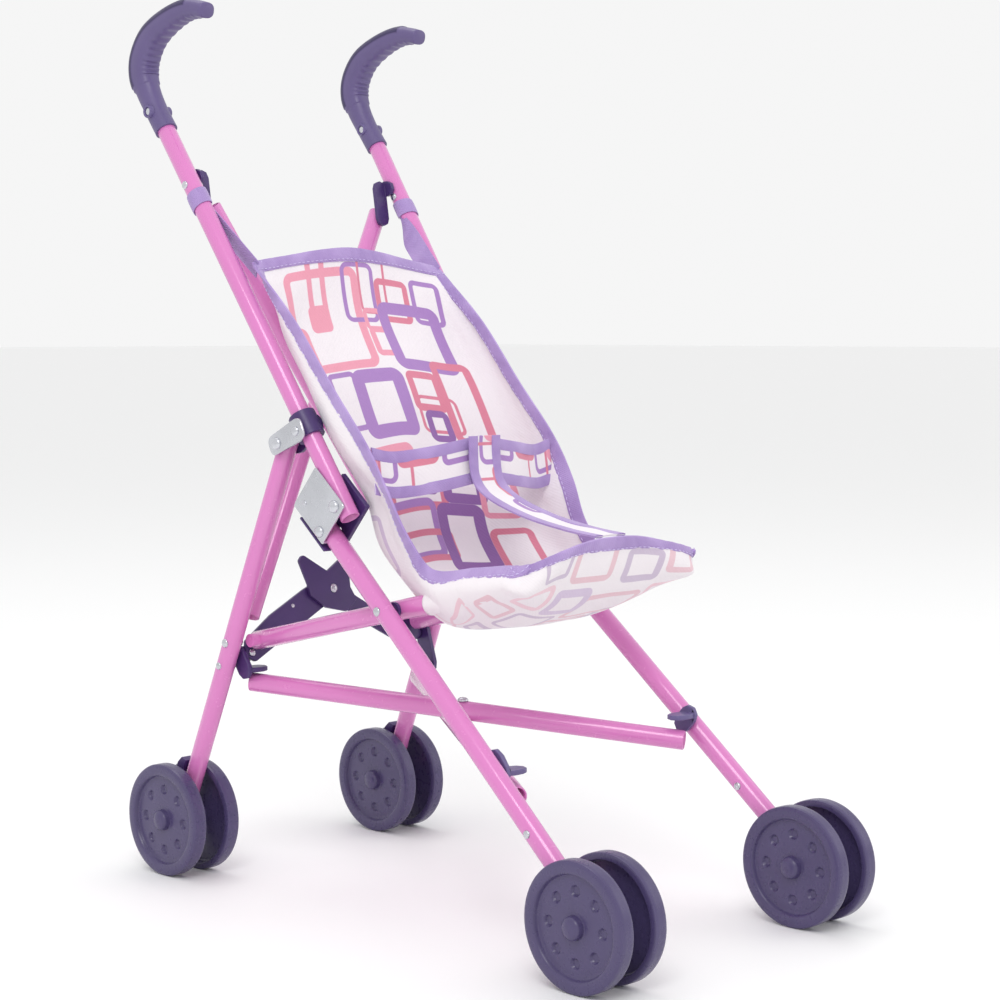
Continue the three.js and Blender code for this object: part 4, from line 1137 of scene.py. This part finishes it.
link(given.outputs["Geometry"], as_curve.inputs["Mesh"])
spaced = add("GeometryNodeCurveToPoints")
spaced.mode = "LENGTH"
link(as_curve.outputs[0], spaced.inputs["Curve"])
link(given.outputs["Gap"], spaced.inputs["Length"])
one = add("GeometryNodeMeshUVSphere")
one.inputs["Segments"].default_value = 6
one.inputs["Rings"].default_value = 5
one.inputs["Radius"].default_value = 1.0
half_stitch = add("ShaderNodeMath")
half_stitch.operation = "MULTIPLY"
half_stitch.inputs[1].default_value = 0.5
link(given.outputs["Stitch"], half_stitch.inputs[0])
stretch = add("ShaderNodeCombineXYZ")
link(given.outputs["Thread"], stretch.inputs["X"])
link(given.outputs["Thread"], stretch.inputs["Y"])
link(half_stitch.outputs[0], stretch.inputs["Z"])
placed = add("GeometryNodeInstanceOnPoints")
link(spaced.outputs["Points"], placed.inputs["Points"])
link(one.outputs["Mesh"], placed.inputs["Instance"])
aligned = add("FunctionNodeAlignRotationToVector")
aligned.axis = "Z"
link(spaced.outputs["Tangent"], aligned.inputs["Vector"])
link(aligned.outputs[0], placed.inputs["Rotation"])
link(stretch.outputs[0], placed.inputs["Scale"])
real = add("GeometryNodeRealizeInstances")
link(placed.outputs[0], real.inputs[0])
painted = add("GeometryNodeSetMaterial")
link(real.outputs[0], painted.inputs["Geometry"])
link(given.outputs["Material"], painted.inputs["Material"])
link(painted.outputs[0], out.inputs["Geometry"])


def stitched(name, runs):
    """Stitches along each run of points, in millimetres."""
    verts, edges = [], []
    for run in runs:
        first = len(verts)
        verts += [p * 0.001 for p in run]
        edges += [(first + i, first + i + 1) for i in range(len(run) - 1)]
    mesh = bpy.data.meshes.new(name)
    mesh.from_pydata(verts, edges, [])
    obj = bpy.data.objects.new(name + "_path", mesh)
    bpy.context.scene.collection.objects.link(obj)
    maker = obj.modifiers.new("stitches", "NODES")
    maker.node_group = run_of
    for item in run_of.interface.items_tree:
        if item.item_type == "SOCKET" and item.in_out == "INPUT" and item.name == "Material":
            maker[item.identifier] = thread
    shown = obj.evaluated_get(bpy.context.evaluated_depsgraph_get())
    made = bpy.data.meshes.new_from_object(shown)
    bpy.data.objects.remove(obj)
    made.name = name
    made.shade_smooth()
    result = bpy.data.objects.new(name, made)
    bpy.context.scene.collection.objects.link(result)
    sewn.append(result)


for side, label in SIDES:
    runs = []
    for edge_name, ((du, dv), path) in rims.items():
        for lift in (1, -1) if edge_name.endswith(label) else ():
            run = []
            for u, v in path:
                start = seat_point(u, v)
                into = (seat_point(min(max(u + du * 0.06, 0), 1), min(max(v + dv * 0.03, 0), 1)) - start).normalized()
                out_way = seat_normal(min(max(u, 0.02), 0.98), min(max(v, 0.02), 0.98))
                run.append(start + into * (TAPE_WIDE - 2.6) + out_way * lift * 1.25)
            runs.append(run)
    stitched("binding_stitches_" + label, runs)

# The seat's cloth halves, binding, belt, crotch strap and stitches have their placement baked into their meshes.
for obj in sewn:
    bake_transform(obj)
for half, (side, label) in zip(sling_halves, SIDES):
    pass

# ---- Floor, light and camera ----
# A plain pale floor that runs off into a white surround, two large soft lamps and a fill.
floor_colour = bpy.data.materials.new("floor")
floor_colour.use_nodes = True
floor_colour.node_tree.nodes["Principled BSDF"].inputs["Base Color"].default_value = (0.93, 0.93, 0.93, 1)
floor_colour.node_tree.nodes["Principled BSDF"].inputs["Roughness"].default_value = 0.6
mesh = bpy.data.meshes.new("floor")
mesh.from_pydata([(-40, -40, 0), (40, -40, 0), (40, 40, 0), (-40, 40, 0)], [], [(0, 1, 2, 3)])
mesh.materials.append(floor_colour)
floor = bpy.data.objects.new("floor", mesh)
bpy.context.scene.collection.objects.link(floor)
world = bpy.data.worlds.new("surround")
world.use_nodes = True
world.node_tree.nodes["Background"].inputs["Color"].default_value = (1, 1, 1, 1)
world.node_tree.nodes["Background"].inputs["Strength"].default_value = 0.92
bpy.context.scene.world = world
for name, place, size, power in (("key_lamp", (-1.4, -1.2, 1.9), 1.0, 17), ("fill_lamp", (1.7, -1.3, 1.2), 1.4, 4),
                                 ("top_lamp", (0.2, 0.7, 2.2), 1.2, 7)):
    lamp = bpy.data.lights.new(name, "AREA")
    lamp.energy = power
    lamp.size = size
    holder = bpy.data.objects.new(name, lamp)
    holder.location = place
    holder.rotation_euler = (Vector((0, 0, 0.28)) - Vector(place)).to_track_quat("-Z", "Y").to_euler()
    bpy.context.scene.collection.objects.link(holder)
lens = bpy.data.cameras.new("camera")
lens.lens = 79.78
lens.sensor_width = 36
camera = bpy.data.objects.new("camera", lens)
camera.location = (-0.9486, -0.9678, 0.3495)
heading, drop = math.radians(45.05), math.radians(4.36)
forward = Vector((math.sin(heading) * math.cos(drop), math.cos(heading) * math.cos(drop), -math.sin(drop)))
camera.rotation_euler = forward.to_track_quat("-Z", "Y").to_euler()
bpy.context.scene.collection.objects.link(camera)
bpy.context.scene.camera = camera
bpy.context.scene.view_settings.view_transform = "Standard"
